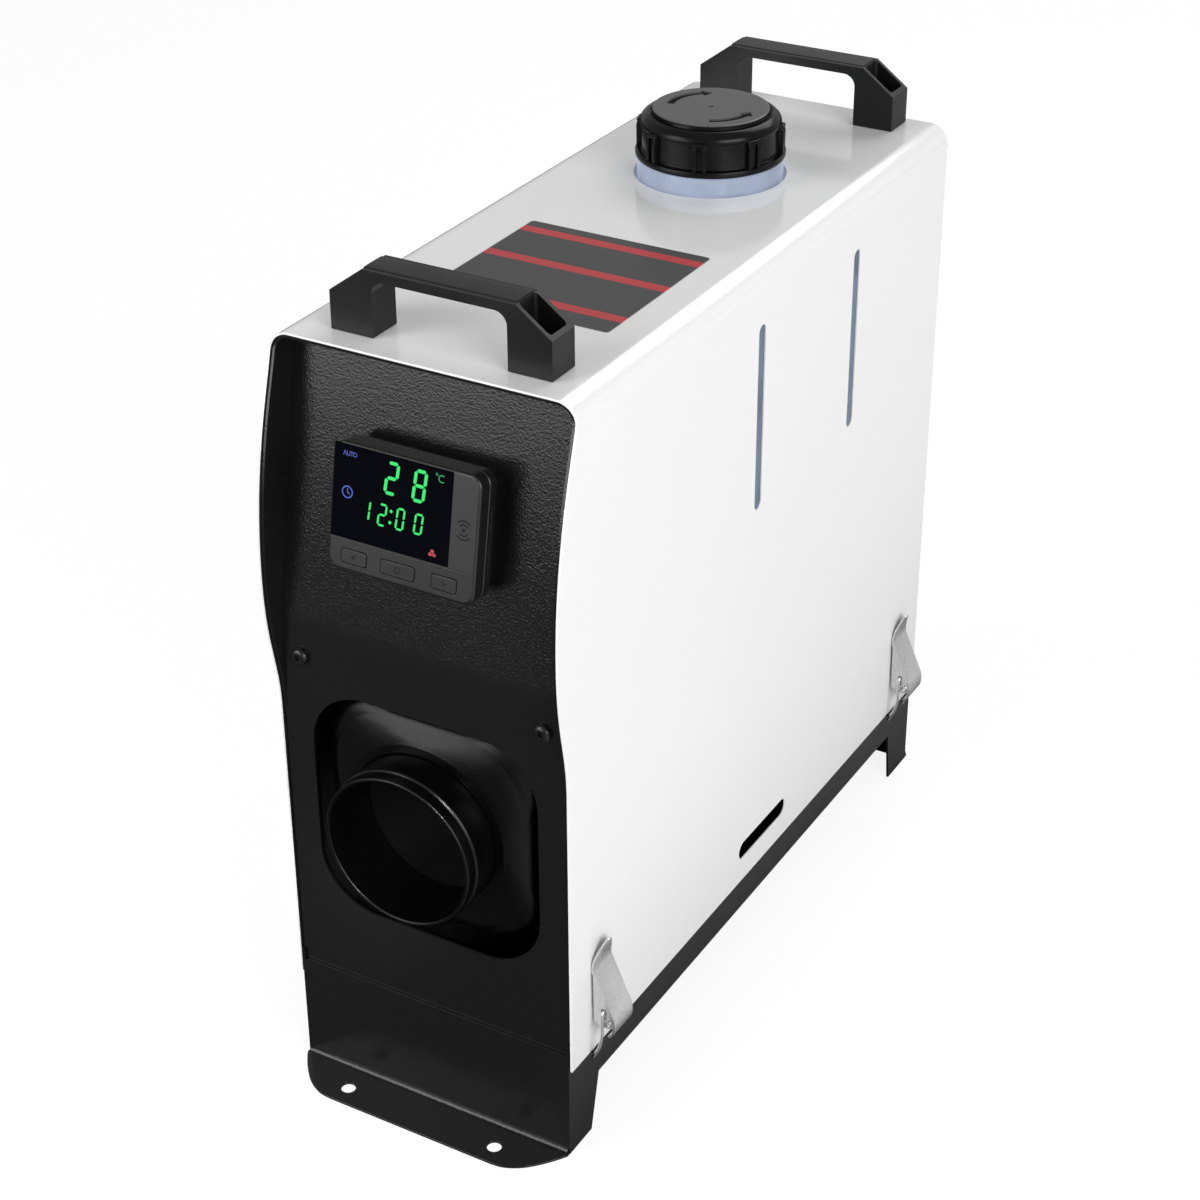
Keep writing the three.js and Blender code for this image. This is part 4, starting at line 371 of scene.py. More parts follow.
def fit(piece, material, slot, *nodes, body="chassis"):
    """Gives a finished piece its material and its place in the frame."""
    piece.data.materials.clear()
    piece.data.materials.append(material)
    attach(piece, body)
    if nodes:
        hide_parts(*nodes)
    return piece


# ------------------------------------------------------------------------------------------
# Shader node groups
# ------------------------------------------------------------------------------------------


def group(name, inputs, outputs):
    """Empty shader group with named sockets: (name, kind, default)."""
    tree = bpy.data.node_groups.new(name, "ShaderNodeTree")
    for label, kind, default in inputs:
        socket = tree.interface.new_socket(label, in_out="INPUT", socket_type=f"NodeSocket{kind}")
        if default is not None:
            socket.default_value = default
    for label, kind in outputs:
        tree.interface.new_socket(label, in_out="OUTPUT", socket_type=f"NodeSocket{kind}")
    start = tree.nodes.new("NodeGroupInput")
    end = tree.nodes.new("NodeGroupOutput")
    return tree, start.outputs, end.inputs


def add_node(tree, kind, settings=None, **inputs):
    """Node with its settings and input values; an input may be a socket to link from."""
    node = tree.nodes.new(kind)
    for key, value in (settings or {}).items():
        setattr(node, key, value)
    for key, value in inputs.items():
        label = key.replace("_", " ")
        socket = node.inputs[int(key[1:])] if key[0] == "i" and key[1:].isdigit() else node.inputs[label]
        if isinstance(value, bpy.types.NodeSocket):
            tree.links.new(value, socket)
        else:
            socket.default_value = value
    return node


def noise(tree, vector, scale, detail=2.0, roughness=0.5):
    node = add_node(tree, "ShaderNodeTexNoise", Scale=scale, Detail=detail, Roughness=roughness)
    tree.links.new(vector, node.inputs["Vector"])
    return node.outputs["Fac"]


def calculate(tree, operation, a, b=0.0, clamp=False):
    node = add_node(tree, "ShaderNodeMath", {"operation": operation, "use_clamp": clamp}, i0=a, i1=b)
    return node.outputs[0]


def remap(tree, value, low, high, to_low=0.0, to_high=1.0):
    node = add_node(tree, "ShaderNodeMapRange", {"interpolation_type": "SMOOTHSTEP"}, Value=value)
    node.inputs["From Min"].default_value = low
    node.inputs["From Max"].default_value = high
    for label, end in (("To Min", to_low), ("To Max", to_high)):
        if isinstance(end, bpy.types.NodeSocket):
            tree.links.new(end, node.inputs[label])
        else:
            node.inputs[label].default_value = end
    return node.outputs["Result"]


def blend_colour(tree, factor, a, b):
    node = tree.nodes.new("ShaderNodeMix")
    node.data_type = "RGBA"
    for index, value in ((0, factor), (6, a), (7, b)):
        if isinstance(value, bpy.types.NodeSocket):
            tree.links.new(value, node.inputs[index])
        else:
            node.inputs[index].default_value = value
    return node.outputs[2]


def bump(tree, height, strength, distance, normal=None):
    node = add_node(tree, "ShaderNodeBump", Strength=strength, Distance=distance, Height=height)
    if normal is not None:
        tree.links.new(normal, node.inputs["Normal"])
    return node.outputs["Normal"]


def make_tone_group():
    """Slow change of a colour over the surface, with a little dust on the faces that look up."""
    tree, given, out = group(
        "tone_drift",
        [
            ("Color", "Color", (1, 1, 1, 1)), ("Amount", "Float", 0.1), ("Scale", "Float", 6.0),
            ("Dust", "Float", 0.0)
        ],
        [("Color", "Color"), ("Mask", "Float")],
    )
    place = add_node(tree, "ShaderNodeTexCoord")
    broad = noise(tree, place.outputs["Object"], 1.0, 3.0)
    tree.links.new(given["Scale"], broad.node.inputs["Scale"])
    drift = remap(tree, broad, 0.3, 0.7)
    dark = calculate(tree, "SUBTRACT", 1.0, calculate(tree, "MULTIPLY", drift, given["Amount"]))
    tinted = add_node(tree, "ShaderNodeVectorMath", {"operation": "SCALE"}, i0=given["Color"], Scale=dark)
    upward = add_node(tree, "ShaderNodeSeparateXYZ", i0=place.outputs["Normal"])
    fine = noise(tree, place.outputs["Object"], 900.0, 2.0)
    specks = remap(tree, fine, 0.5, 0.75)
    lying = calculate(tree, "MULTIPLY", remap(tree, upward.outputs["Z"], 0.5, 1.0), specks)
    dust = calculate(tree, "MULTIPLY", lying, given["Dust"])
    mixed = blend_colour(tree, dust, tinted.outputs[0], (0.45, 0.44, 0.42, 1))
    tree.links.new(mixed, out["Color"])
    tree.links.new(drift, out["Mask"])
    return tree


def make_peel_group():
    """Orange peel and fine grain as a bent normal."""
    tree, given, out = group(
        "surface_relief",
        [
            ("Coarse Scale", "Float", 500.0),
            ("Fine Scale", "Float", 2500.0),
            ("Coarse Height", "Float", 0.3),
            ("Fine Height", "Float", 0.2),
            ("Depth", "Float", 0.0001),
        ],
        [("Normal", "Vector"), ("Height", "Float")],
    )
    place = add_node(tree, "ShaderNodeTexCoord")
    coarse = noise(tree, place.outputs["Object"], 1.0, 1.0)
    fine = noise(tree, place.outputs["Object"], 1.0, 2.0)
    tree.links.new(given["Coarse Scale"], coarse.node.inputs["Scale"])
    tree.links.new(given["Fine Scale"], fine.node.inputs["Scale"])
    height = calculate(
        tree,
        "ADD",
        calculate(tree, "MULTIPLY", coarse, given["Coarse Height"]),
        calculate(tree, "MULTIPLY", fine, given["Fine Height"]),
    )
    relief = add_node(tree, "ShaderNodeBump", Strength=1.0, Distance=given["Depth"], Height=height)
    tree.links.new(relief.outputs["Normal"], out["Normal"])
    tree.links.new(height, out["Height"])
    return tree


def make_edge_glint_group():
    """Painted highlight: patchy mask on the rounded edges of a piece, where the materials lighten their colour
    as edge glints.
    """
    tree, given, out = group(
        "painted_edge_glint", [("Amount", "Float", 0.5), ("Scale", "Float", 120.0)], [("Mask", "Float")]
    )
    place = add_node(tree, "ShaderNodeTexCoord")
    edge = add_node(tree, "ShaderNodeAttribute", {"attribute_name": "edge"})
    patches = noise(tree, place.outputs["Object"], 1.0, 3.0, 0.6)
    tree.links.new(given["Scale"], patches.node.inputs["Scale"])
    glint_mask = calculate(tree, "MULTIPLY", edge.outputs["Fac"], remap(tree, patches, 0.35, 0.65))
    tree.links.new(calculate(tree, "MULTIPLY", glint_mask, given["Amount"], clamp=True), out["Mask"])
    return tree


TONE = make_tone_group()
RELIEF = make_peel_group()
EDGE_GLINT = make_edge_glint_group()


def grouped(tree, source, **values):
    node = tree.nodes.new("ShaderNodeGroup")
    node.node_tree = source
    for key, value in values.items():
        socket = node.inputs[key.replace("_", " ")]
        if isinstance(value, bpy.types.NodeSocket):
            tree.links.new(value, socket)
        else:
            socket.default_value = value
    return node.outputs


def empty_material(name, **shader):
    """Material with one Principled BSDF whose plain values are given."""
    material = bpy.data.materials.new(name)
    material.use_nodes = True
    tree = material.node_tree
    surface = tree.nodes["Principled BSDF"]
    for key, value in shader.items():
        surface.inputs[key.replace("_", " ")].default_value = value
    return material, tree, surface.inputs


def peel(coarse_scale, fine_scale, coarse_height, fine_height, depth):
    """Inputs of the relief group; the scales are in grains per metre and the depth in metres."""
    return {
        "Coarse_Scale": coarse_scale,
        "Fine_Scale": fine_scale,
        "Coarse_Height": coarse_height,
        "Fine_Height": fine_height,
        "Depth": depth,
    }


def painted(name, colour, drift, scale, dust, relief, edge_glint, edge_glint_colour, roughness, spread, **shader):
    """Coated or moulded surface: drifting colour, relief, painted highlights on the rounded edges and uneven
    gloss.
    """
    material, tree, surface = empty_material(name, **shader)
    tone = grouped(tree, TONE, Color=colour, Amount=drift, Scale=scale, Dust=dust)
    # Painted highlight: the rounded edges are lightened towards the edge glint colour.
    glint_mask = grouped(tree, EDGE_GLINT, Amount=edge_glint)
    tree.links.new(blend_colour(tree, glint_mask["Mask"], tone["Color"], edge_glint_colour), surface["Base Color"])
    bent = grouped(tree, RELIEF, **relief)
    tree.links.new(bent["Normal"], surface["Normal"])
    tree.links.new(
        remap(tree, tone["Mask"], 0.0, 1.0, roughness - spread, roughness + spread), surface["Roughness"]
    )
    return material


def shade_inside_faces(material):
    """Painted shade: a dark colour on the faces marked inside, standing in for the shade inside the cover."""
    tree = material.node_tree
    base = tree.nodes["Principled BSDF"].inputs["Base Color"]
    outer = base.links[0].from_socket
    inside = add_node(tree, "ShaderNodeAttribute", {"attribute_name": "inside"})
    tree.links.new(blend_colour(tree, inside.outputs["Fac"], outer, grey(0.012)), base)


def grey(value, blue=0.0):
    return (value, value, value + blue, 1.0)


WHITE_PAINT = painted(
    "gloss_white_paint",
    grey(0.86),
    drift=0.012,
    scale=5.0,
    dust=0.0,
    relief=peel(420.0, 1600.0, 0.5, 0.1, 0.00002),
    edge_glint=0.0,
    edge_glint_colour=grey(0.9),
    roughness=0.16,
    spread=0.02,
    Coat_Weight=0.5,
    Coat_Roughness=0.06,
)
shade_inside_faces(WHITE_PAINT)
BLACK_COAT = painted(
    "black_powder_coat",
    grey(0.007),
    drift=0.15,
    scale=12.0,
    dust=0.004,
    relief=peel(950.0, 2400.0, 0.8, 0.35, 0.00013),
    edge_glint=0.2,
    edge_glint_colour=grey(0.035),
    roughness=0.15,
    spread=0.02,
    Specular_IOR_Level=0.42,
)
BLACK_PLASTIC = painted(
    "moulded_black_plastic",
    grey(0.005),
    drift=0.2,
    scale=30.0,
    dust=0.006,
    relief=peel(1400.0, 4200.0, 0.4, 0.4, 0.00005),
    edge_glint=0.25,
    edge_glint_colour=grey(0.03),
    roughness=0.4,
    spread=0.05,
    Specular_IOR_Level=0.3,
)
GREY_PLASTIC = painted(
    "controller_grey_plastic",
    grey(0.006),
    drift=0.1,
    scale=30.0,
    dust=0.01,
    relief=peel(2000.0, 5000.0, 0.4, 0.3, 0.00003),
    edge_glint=0.5,
    edge_glint_colour=grey(0.12),
    roughness=0.38,
    spread=0.03,
)
RUBBER = painted(
    "black_rubber",
    grey(0.016),
    drift=0.2,
    scale=40.0,
    dust=0.04,
    relief=peel(900.0, 3500.0, 0.4, 0.4, 0.00006),
    edge_glint=0.0,
    edge_glint_colour=grey(0.05),
    roughness=0.68,
    spread=0.06,
)
CIRCUIT_BOARD = painted(
    "lacquered_board",
    (0.02, 0.09, 0.045, 1.0),
    drift=0.3,
    scale=160.0,
    dust=0.02,
    relief=peel(700.0, 2200.0, 0.6, 0.2, 0.0002),
    edge_glint=0.0,
    edge_glint_colour=grey(0.1),
    roughness=0.4,
    spread=0.05,
)


def metal(name, colour, drift, relief, roughness, spread, stretch=(1, 1, 1), brush=0.0):
    """Bare metal with brush marks drawn along the stretched axis."""
    material, tree, surface = empty_material(name, Metallic=1.0)
    tone = grouped(tree, TONE, Color=colour, Amount=drift, Scale=60.0, Dust=0.0)
    # Painted highlight: the rounded edges are lightened towards a pale grey.
    glint_mask = grouped(tree, EDGE_GLINT, Amount=0.6)
    tree.links.new(blend_colour(tree, glint_mask["Mask"], tone["Color"], grey(0.86)), surface["Base Color"])
    place = add_node(tree, "ShaderNodeTexCoord")
    drawn = add_node(tree, "ShaderNodeMapping", Vector=place.outputs["Object"])
    drawn.inputs["Scale"].default_value = stretch
    marks = noise(tree, drawn.outputs["Vector"], 1800.0, 3.0, 0.6)
    bent = grouped(tree, RELIEF, **relief)
    if brush:
        tree.links.new(bump(tree, marks, 1.0, brush, bent["Normal"]), surface["Normal"])
    else:
        tree.links.new(bent["Normal"], surface["Normal"])
    tree.links.new(
        remap(tree, marks, 0.25, 0.75, roughness - spread, roughness + spread), surface["Roughness"]
    )
    return material


LATCH_STEEL = metal(
    "plated_latch_steel",
    grey(0.74),
    drift=0.1,
    relief=peel(260.0, 1500.0, 0.5, 0.1, 0.00012),
    roughness=0.26,
    spread=0.07,
    stretch=(1, 1, 0.06),
    brush=0.000012,
)
BRIGHT_STEEL = metal(
    "turned_bright_steel",
    grey(0.6),
    drift=0.15,
    relief=peel(500.0, 2000.0, 0.3, 0.3, 0.00004),
    roughness=0.3,
    spread=0.08,
    stretch=(1, 0.08, 1),
    brush=0.00002,
)
ZINC_STEEL = metal(
    "galvanised_steel",
    (0.42, 0.44, 0.45, 1.0),
    drift=0.35,
    relief=peel(120.0, 900.0, 0.5, 0.3, 0.0001),
    roughness=0.45,
    spread=0.1,
)
CAST_ALUMINIUM = metal(
    "rough_cast_aluminium",
    (0.62, 0.62, 0.61, 1.0),
    drift=0.25,
    relief=peel(700.0, 2400.0, 0.7, 0.5, 0.0004),
    roughness=0.5,
    spread=0.12,
)
SCREW_STEEL = painted(
    "blackened_screw_steel",
    grey(0.016),
    drift=0.3,
    scale=200.0,
    dust=0.0,
    relief=peel(1200.0, 3500.0, 0.3, 0.3, 0.00003),
    edge_glint=0.7,
    edge_glint_colour=grey(0.09),
    roughness=0.25,
    spread=0.05,
    Metallic=0.4,
)


def make_tank_plastic_with_painted_glow():
    """Bluish-white plastic with a painted glow: a faint uneven bluish emission stands in for the light that
    goes round in its wall.
    """
    material, tree, surface = empty_material("tank_plastic", IOR=1.5, Emission_Strength=0.24)
    tone = grouped(tree, TONE, Color=(0.15, 0.175, 0.235, 1.0), Amount=0.12, Scale=22.0, Dust=0.0)
    tree.links.new(tone["Color"], surface["Base Color"])
    # Painted glow: the whole tank and its collar give off a faint pale-blue light of their own.
    glow = grouped(tree, TONE, Color=(0.86, 1.0, 1.32, 1.0), Amount=0.3, Scale=45.0, Dust=0.0)
    tree.links.new(glow["Color"], surface["Emission Color"])
    bent = grouped(
        tree,
        RELIEF,
        Coarse_Scale=60.0,
        Fine_Scale=900.0,
        Coarse_Height=1.0,
        Fine_Height=0.1,
        Depth=0.0006,
    )
    tree.links.new(bent["Normal"], surface["Normal"])
    tree.links.new(remap(tree, tone["Mask"], 0.0, 1.0, 0.24, 0.36), surface["Roughness"])
    return material


TANK_PLASTIC_PAINTED_GLOW = make_tank_plastic_with_painted_glow()

# ------------------------------------------------------------------------------------------
# Sheet-metal body
# ------------------------------------------------------------------------------------------


def bezier(a, b, c, d, steps):
    """Points of a cubic curve in the plane, both ends included."""
    points = []
    for k in range(steps + 1):
        t = k / steps
        u = 1 - t
        weights = (u**3, 3 * u * u * t, 3 * u * t * t, t**3)
        points.append(tuple(sum(w * p[i] for w, p in zip(weights, (a, b, c, d))) for i in (0, 1)))
    return points


def wing_edge(shift=0.0):
    """Front edge of the cover seen from the side: (y, z) from its foot to its top."""
    straight = EDGE_STRAIGHT_Y + shift
    peak = straight - WING_BULGE
    top = EDGE_TOP_Y + shift
    span = WING_PEAK_Z - WING_FOOT_Z
    rise = (WING_TOP_Z - WING_PEAK_Z) / 10
    lower = bezier(
        (straight, WING_FOOT_Z),
        (straight, WING_FOOT_Z + span * 0.35),
        (peak, WING_PEAK_Z - span * 0.5),
        (peak, WING_PEAK_Z),
        24,
    )
    upper = bezier(
        (peak, WING_PEAK_Z),
        (peak, WING_PEAK_Z + rise * 5.7),
        (top, WING_TOP_Z - rise),
        (top, WING_TOP_Z),
        36,
    )
    return lower + upper[1:]


def edge_y(z, line):
    """Place along Y of an edge line at a height."""
    if z <= line[0][1]:
        return line[0][0]
    for (y0, z0), (y1, z1) in zip(line, line[1:]):
        if z <= z1:
            return y0 + (y1 - y0) * (z - z0) / (z1 - z0)
    return line[-1][0]


def arch_path(inset, bottom, levels, steps=14):
    """Run around the arch of the cover from the right foot to the left foot, as (x, z)."""
    half = COVER_HALF - inset
    top = COVER_TOP - inset
    radius = CORNER_RADIUS - inset
    right = [(half, bottom)] + [(half, z) for z in levels if bottom < z < top - radius]
    for k in range(steps + 1):
        angle = math.pi / 2 * k / steps
        right.append((half - radius + radius * math.cos(angle), top - radius + radius * math.sin(angle)))
    return right + [(-x, z) for x, z in reversed(right)]


def arch_shell(name, inset, bottom, front, back, thickness=SHEET):
    """Bent sheet along the arch; front and back give its ends along Y for a height."""
    levels = [z for _, z in wing_edge()]
    path = arch_path(inset, bottom, levels)
    points = []
    for x, z in path:
        points += [(x, front(z), z), (x, back(z), z)]
    faces = [(2 * k, 2 * k + 2, 2 * k + 3, 2 * k + 1) for k in range(len(path) - 1)]
    shell = new_piece(name, points, faces)
    probe = shell.data.polygons[0]
    if probe.normal.x * points[0][0] < 0:
        shell.data.flip_normals()
    wall = shell.modifiers.new("wall", "SOLIDIFY")
    wall.thickness = thickness * MM
    wall.offset = -1.0
    wall.use_even_offset = True
    return apply_modifiers(shell)


def make_cover():
    line = wing_edge()
    cover = arch_shell("cover_shell", 0.0, COVER_BOTTOM, lambda z: edge_y(z, line), lambda z: REAR)
    tools = []
    for middle in (84.5, -15.0):
        slot = rounded_rectangle(middle, 303.5, 7.0, 93.0, 3.49, 12)
        tools.append(prism("sight_slot", "x", slot, -90, 90))
    vent = rounded_rectangle(1.0, 66.7, 51.0, 9.6, 4.79, 14)
    tools.append(prism("vent_slot", "x", vent, 60, 90))
    tools.append(drilled_bar("filler_hole", "z", (0, FILLER_Y, 0), 73.0, 370, 390, 96))
    cut(cover, *tools)
    soften(cover, 0.35, 3, 40)
    shade(cover, 40)
    # Painted shade: the faces inside the sheet are marked, and the white paint turns dark on them.
    inside = cover.data.attributes.new("inside", "FLOAT", "FACE")
    depth = SHEET / 2 + 0.2  # just past the middle of the sheet, so its cut edges stay white
    side, top, bend = COVER_HALF - depth, COVER_TOP - depth, CORNER_RADIUS - depth
    for face in cover.data.polygons:
        x, z = abs(face.center.x) / MM, face.center.z / MM
        from_bend = math.hypot(max(x - COVER_HALF + CORNER_RADIUS, 0), max(z - COVER_TOP + CORNER_RADIUS, 0))
        inside.data[face.index].value = 1.0 if x < side and z < top and from_bend < bend else 0.0
    return fit(cover, WHITE_PAINT, "white_paint", "outer_cover")


def leaning_y(z):
    """Outer face of the front panel along Y at a height."""
    return PANEL_Y + max(z - FOLD_Z, 0.0) * math.tan(LEAN)


def bent_panel_line():
    """Outer face of the front panel from top to foot with a round bend at the fold."""
    bend = 6.0
    line = [(leaning_y(COVER_TOP), COVER_TOP)]
    start = Vector((leaning_y(FOLD_Z + bend), FOLD_Z + bend))
    corner = Vector((PANEL_Y, FOLD_Z))
    end = Vector((PANEL_Y, FOLD_Z - bend))
    for k in range(9):
        t = k / 8
        point = start * (1 - t) ** 2 + corner * 2 * t * (1 - t) + end * t * t
        line.append(tuple(point))
    line.append((PANEL_Y, TRAY_FLOOR_TOP + FIT))
    return line


def make_front_panel():
    sheet = prism("leaning_panel", "x", sheet_strip(bent_panel_line(), SHEET), -LINER_HALF, LINER_HALF)
    inset = SHEET + FIT
    outline = arch_path(inset, 0.0, [])
    trim(sheet, prism("panel_room", "y", outline, FRONT - 20, FRONT + 60))
    line = wing_edge(0.8)
    liner = arch_shell(
        "panel_liner",
        inset,
        WING_FOOT_Z,
        lambda z: edge_y(z, line),
        lambda z: max(leaning_y(z) + SHEET / 2, edge_y(z, line) + 0.05),
    )
    join(sheet, liner)
    room = RAIL_INNER - FIT
    opening = rounded_rectangle(0, AXIS_Z - 2.3, 117.6, 116.6, 29.5, 20)
    tools = [
        prism("opening", "y", opening, FRONT - 5, FRONT + 10),
        block("right_rail", (room, FRONT - 5, 0), (90, REAR, RAIL_TOP + FIT)),
        block("left_rail", (-90, FRONT - 5, 0), (-room, REAR, RAIL_TOP + FIT)),
    ]
    tools += [drilled_bar("screw_hole", "y", (x, 0, 228), 4.6, FRONT - 5, FRONT + 10) for x in (-62.5, 62.5)]
    cut(sheet, *tools)
    soften(sheet, 0.3, 2, 40)
    shade(sheet, 40)
    return fit(sheet, BLACK_COAT, "black_powder_coat", "front_panel")


def set_on_points_group():
    """Geometry group that sets one piece on every point, turned by the point's own angles."""
    tree = bpy.data.node_groups.new("set_on_points", "GeometryNodeTree")
    for label, kind in (("Geometry", "Geometry"), ("Piece", "Object"), ("Material", "Material")):
        tree.interface.new_socket(label, in_out="INPUT", socket_type=f"NodeSocket{kind}")
    tree.interface.new_socket("Geometry", in_out="OUTPUT", socket_type="NodeSocketGeometry")
    given = tree.nodes.new("NodeGroupInput").outputs
    end = tree.nodes.new("NodeGroupOutput").inputs
    piece = add_node(tree, "GeometryNodeObjectInfo", {"transform_space": "ORIGINAL"}, Object=given["Piece"])
    turn = add_node(tree, "GeometryNodeInputNamedAttribute", {"data_type": "FLOAT_VECTOR"}, Name="turn")
    copies = add_node(
        tree,
        "GeometryNodeInstanceOnPoints",
        Points=given["Geometry"],
        Instance=piece.outputs["Geometry"],
        Rotation=turn.outputs["Attribute"],
    )
    whole = add_node(tree, "GeometryNodeRealizeInstances", Geometry=copies.outputs["Instances"])
    dressed = add_node(
        tree, "GeometryNodeSetMaterial", Geometry=whole.outputs["Geometry"], Material=given["Material"]
    )
    tree.links.new(dressed.outputs["Geometry"], end["Geometry"])
    return tree


SET_ON_POINTS = set_on_points_group()


def repeated(name, piece, places, material):
    """Copies of a piece at places of the form ((x, y, z), (turn x, turn y, turn z))."""
    mesh = bpy.data.meshes.new(name)
    mesh.from_pydata([Vector(point) * MM for point, _ in places], [], [])
    turns = mesh.attributes.new("turn", "FLOAT_VECTOR", "POINT")
    for k, (_, turn) in enumerate(places):
        turns.data[k].vector = turn
    holder = bpy.data.objects.new(name, mesh)
    bpy.context.scene.collection.objects.link(holder)
    modifier = holder.modifiers.new("set_on_points", "NODES")
    modifier.node_group = SET_ON_POINTS
    items = SET_ON_POINTS.interface.items_tree
    sockets = {item.name: item.identifier for item in items if item.in_out == "INPUT"}
    modifier[sockets["Piece"]] = piece
    modifier[sockets["Material"]] = material
    apply_modifiers(holder)
    bpy.data.objects.remove(piece)
    return holder


make_cover()
make_front_panel()


# ------------------------------------------------------------------------------------------
# Tray
# ------------------------------------------------------------------------------------------


def flange_outline(wall, outward):
    """Foot flange seen from above, with round corners."""
    right = [
        (73.5, 0.0), (73.5, 2.0), (71.2, 5.6), (66.6, 11.6), (60.5, 17.9), (55.6, 21.2), (50.6, 23.3),
        (45.0, 24.0)
    ]
    curve = flat_path(right[1:], 5)
    half = [right[0]] + curve
    return [(x, wall + outward * y) for x, y in half] + [(-x, wall + outward * y) for x, y in reversed(half)]


def make_tray():
    """Frame's tray with finer foot flanges that bend out of the end walls."""
    tray = from_frame("base_tray")
    tools = []
    for wall, outward in ((FRONT, -1), (REAR, 1)):
        y0, y1 = sorted((wall + outward * 0.02, wall + outward * 30))
        tools.append(block("old_flange", (-80, y0, -1), (80, y1, 1.4)))
    cut(tray, *tools)
    parts = [tray]
    for wall, outward in ((FRONT, -1), (REAR, 1)):
        flange = prism("foot_flange", "z", flange_outline(wall, outward), 0.0, SHEET)
        holes = [drilled_bar("bolt_hole", "z", (x, wall + outward * 14, 0), 7.0, -2, 4) for x in (-41, 41)]
        cut(flange, *holes)
        soften(flange, 0.3, 2, 40)
        bend = [(0.02, 0.3), (0.02, 3.6), (0.35, 2.4), (1.0, 1.6), (2.0, 1.22), (3.4, 1.18), (3.4, 0.3)]
        root = prism("bend", "x", [(wall + outward * a, b) for a, b in bend], -72.6, 72.6)
        parts += [flange, root]
    soften(tray, 0.3, 2, 32)
    whole = merge("base_tray_finished", parts)
    shade(whole, 38)
    return fit(whole, BLACK_COAT, "black_powder_coat", "base_tray")


make_tray()

# ------------------------------------------------------------------------------------------
# Handles
# ------------------------------------------------------------------------------------------

HANDLE_BASE = COVER_TOP + FIT
HANDLE_END = 53.7
HANDLE_INNER = HANDLE_END - 21.0
HANDLE_TOP = 29.9
CHAMFER_FROM = HANDLE_END - 16.8
CHAMFER_FOOT = 17.5


def make_handle(name, x, y):
    """Bridge handle: frame with sloped ends, crowned bar, and an open screw pocket at each end."""
    under, r = 25.5, 6.0
    outline = [(-HANDLE_END, 0.0), (-HANDLE_INNER, 0.0)]
    for k in range(11):
        angle = math.pi - math.pi / 2 * k / 10
        outline.append((-HANDLE_INNER + r + r * math.cos(angle), under - r + r * math.sin(angle)))
    for k in range(11):
        angle = math.pi / 2 - math.pi / 2 * k / 10
        outline.append((HANDLE_INNER - r + r * math.cos(angle), under - r + r * math.sin(angle)))
    outline += [
        (HANDLE_INNER, 0.0), (HANDLE_END, 0.0), (HANDLE_END, CHAMFER_FOOT), (CHAMFER_FROM, HANDLE_TOP)
    ]
    outline += [(-CHAMFER_FROM, HANDLE_TOP), (-HANDLE_END, CHAMFER_FOOT)]
    handle = prism(name, "y", outline, -8.8, 8.8)
    crown = [
        (-6.7, 29.0), (-6.7, 29.9), (-6.2, 30.25), (-4.5, 30.4), (0, 30.5), (4.5, 30.4), (6.2, 30.25),
        (6.7, 29.9)
    ]
    join(handle, prism("crown", "x", crown + [(6.7, 29.0)], -CHAMFER_FROM - 0.2, CHAMFER_FROM - 0.6))
    tools = []
    for side in (-1, 1):
        middle = side * 44.3
        pocket = rounded_rectangle(middle, 0, 14.8, 13.4, 1.6, 5)
        tools.append(prism("pocket", "z", pocket, 3.0, 40.0))
        tools.append(drilled_bar("screw_hole", "z", (middle, 0, 0), 5.2, -1, 6, 24))
    cut(handle, *tools)
    soften(handle, 0.45, 3, 28)
    shade(handle, 34)
    handle.data.transform(Matrix.Translation(Vector((x, y, HANDLE_BASE)) * MM))
    return fit(handle, BLACK_PLASTIC, "black_plastic", name.replace("_finished", ""))


make_handle("front_handle_finished", 2.4, -156.3)
make_handle("rear_handle_finished", 0.0, 175.0)

# ------------------------------------------------------------------------------------------
# Screws
# ------------------------------------------------------------------------------------------


def pan_screw(name, shank, length, head, height, top):
    """Screw along +Z on z = 0 with a round head and a hexagonal drive."""
    radius = head / 2
    crown = [(radius, 0.0), (radius, height * 0.3)]
    for k in range(1, 8):
        angle = math.pi / 2 * k / 8
        crown.append((top + (radius - top) * math.cos(angle), height * (0.3 + 0.7 * math.sin(angle))))
    profile = [(0.0, -length), (shank / 2, -length), (shank / 2, 0.0), *crown, (top, height), (0.0, height)]
    screw = turned(name, "z", (0, 0, 0), profile, 40)
    hexagon = [(1.75 * math.cos(math.pi / 3 * k), 1.75 * math.sin(math.pi / 3 * k)) for k in range(6)]
    cut(screw, prism("drive", "z", hexagon, height - 1.6, height + 2))
    soften(screw, 0.1, 2, 45)
    return screw


def make_screws():
    quarter = math.pi / 2
    panel = pan_screw("panel_screw", 4.0, 12.0, 8.4, 2.6, 1.9)
    places = [((x, -187.8, 228.0), (quarter, 0, 0)) for x in (-62.5, 62.5)]
    places += [((x, 187.8, 228.0), (-quarter, 0, 0)) for x in (-62.5, 62.5)]
    screws = repeated("panel_screws", panel, places, SCREW_STEEL)
    shade(screws, 35)
    nodes = [f"{end}_panel_screw_{side}" for end in ("front", "back") for side in ("left", "right")]
    fit(screws, SCREW_STEEL, "black_screw_steel", *nodes)
    handle = pan_screw("handle_screw", 4.6, 13.0, 8.0, 3.0, 2.2)
    places = [
        ((x + side * 44.3, y, 382.6), (0, 0, 0)) for x, y in ((2.4, -156.3), (0.0, 175.0)) for side in (-1, 1)
    ]
    screws = repeated("handle_screws", handle, places, SCREW_STEEL)
    shade(screws, 35)
    nodes = [f"{end}_handle_screw_{side}" for end in ("front", "rear") for side in ("left", "right")]
    fit(screws, SCREW_STEEL, "black_screw_steel", *nodes)


make_screws()

# ------------------------------------------------------------------------------------------
# Fuel cap and tank
# ------------------------------------------------------------------------------------------


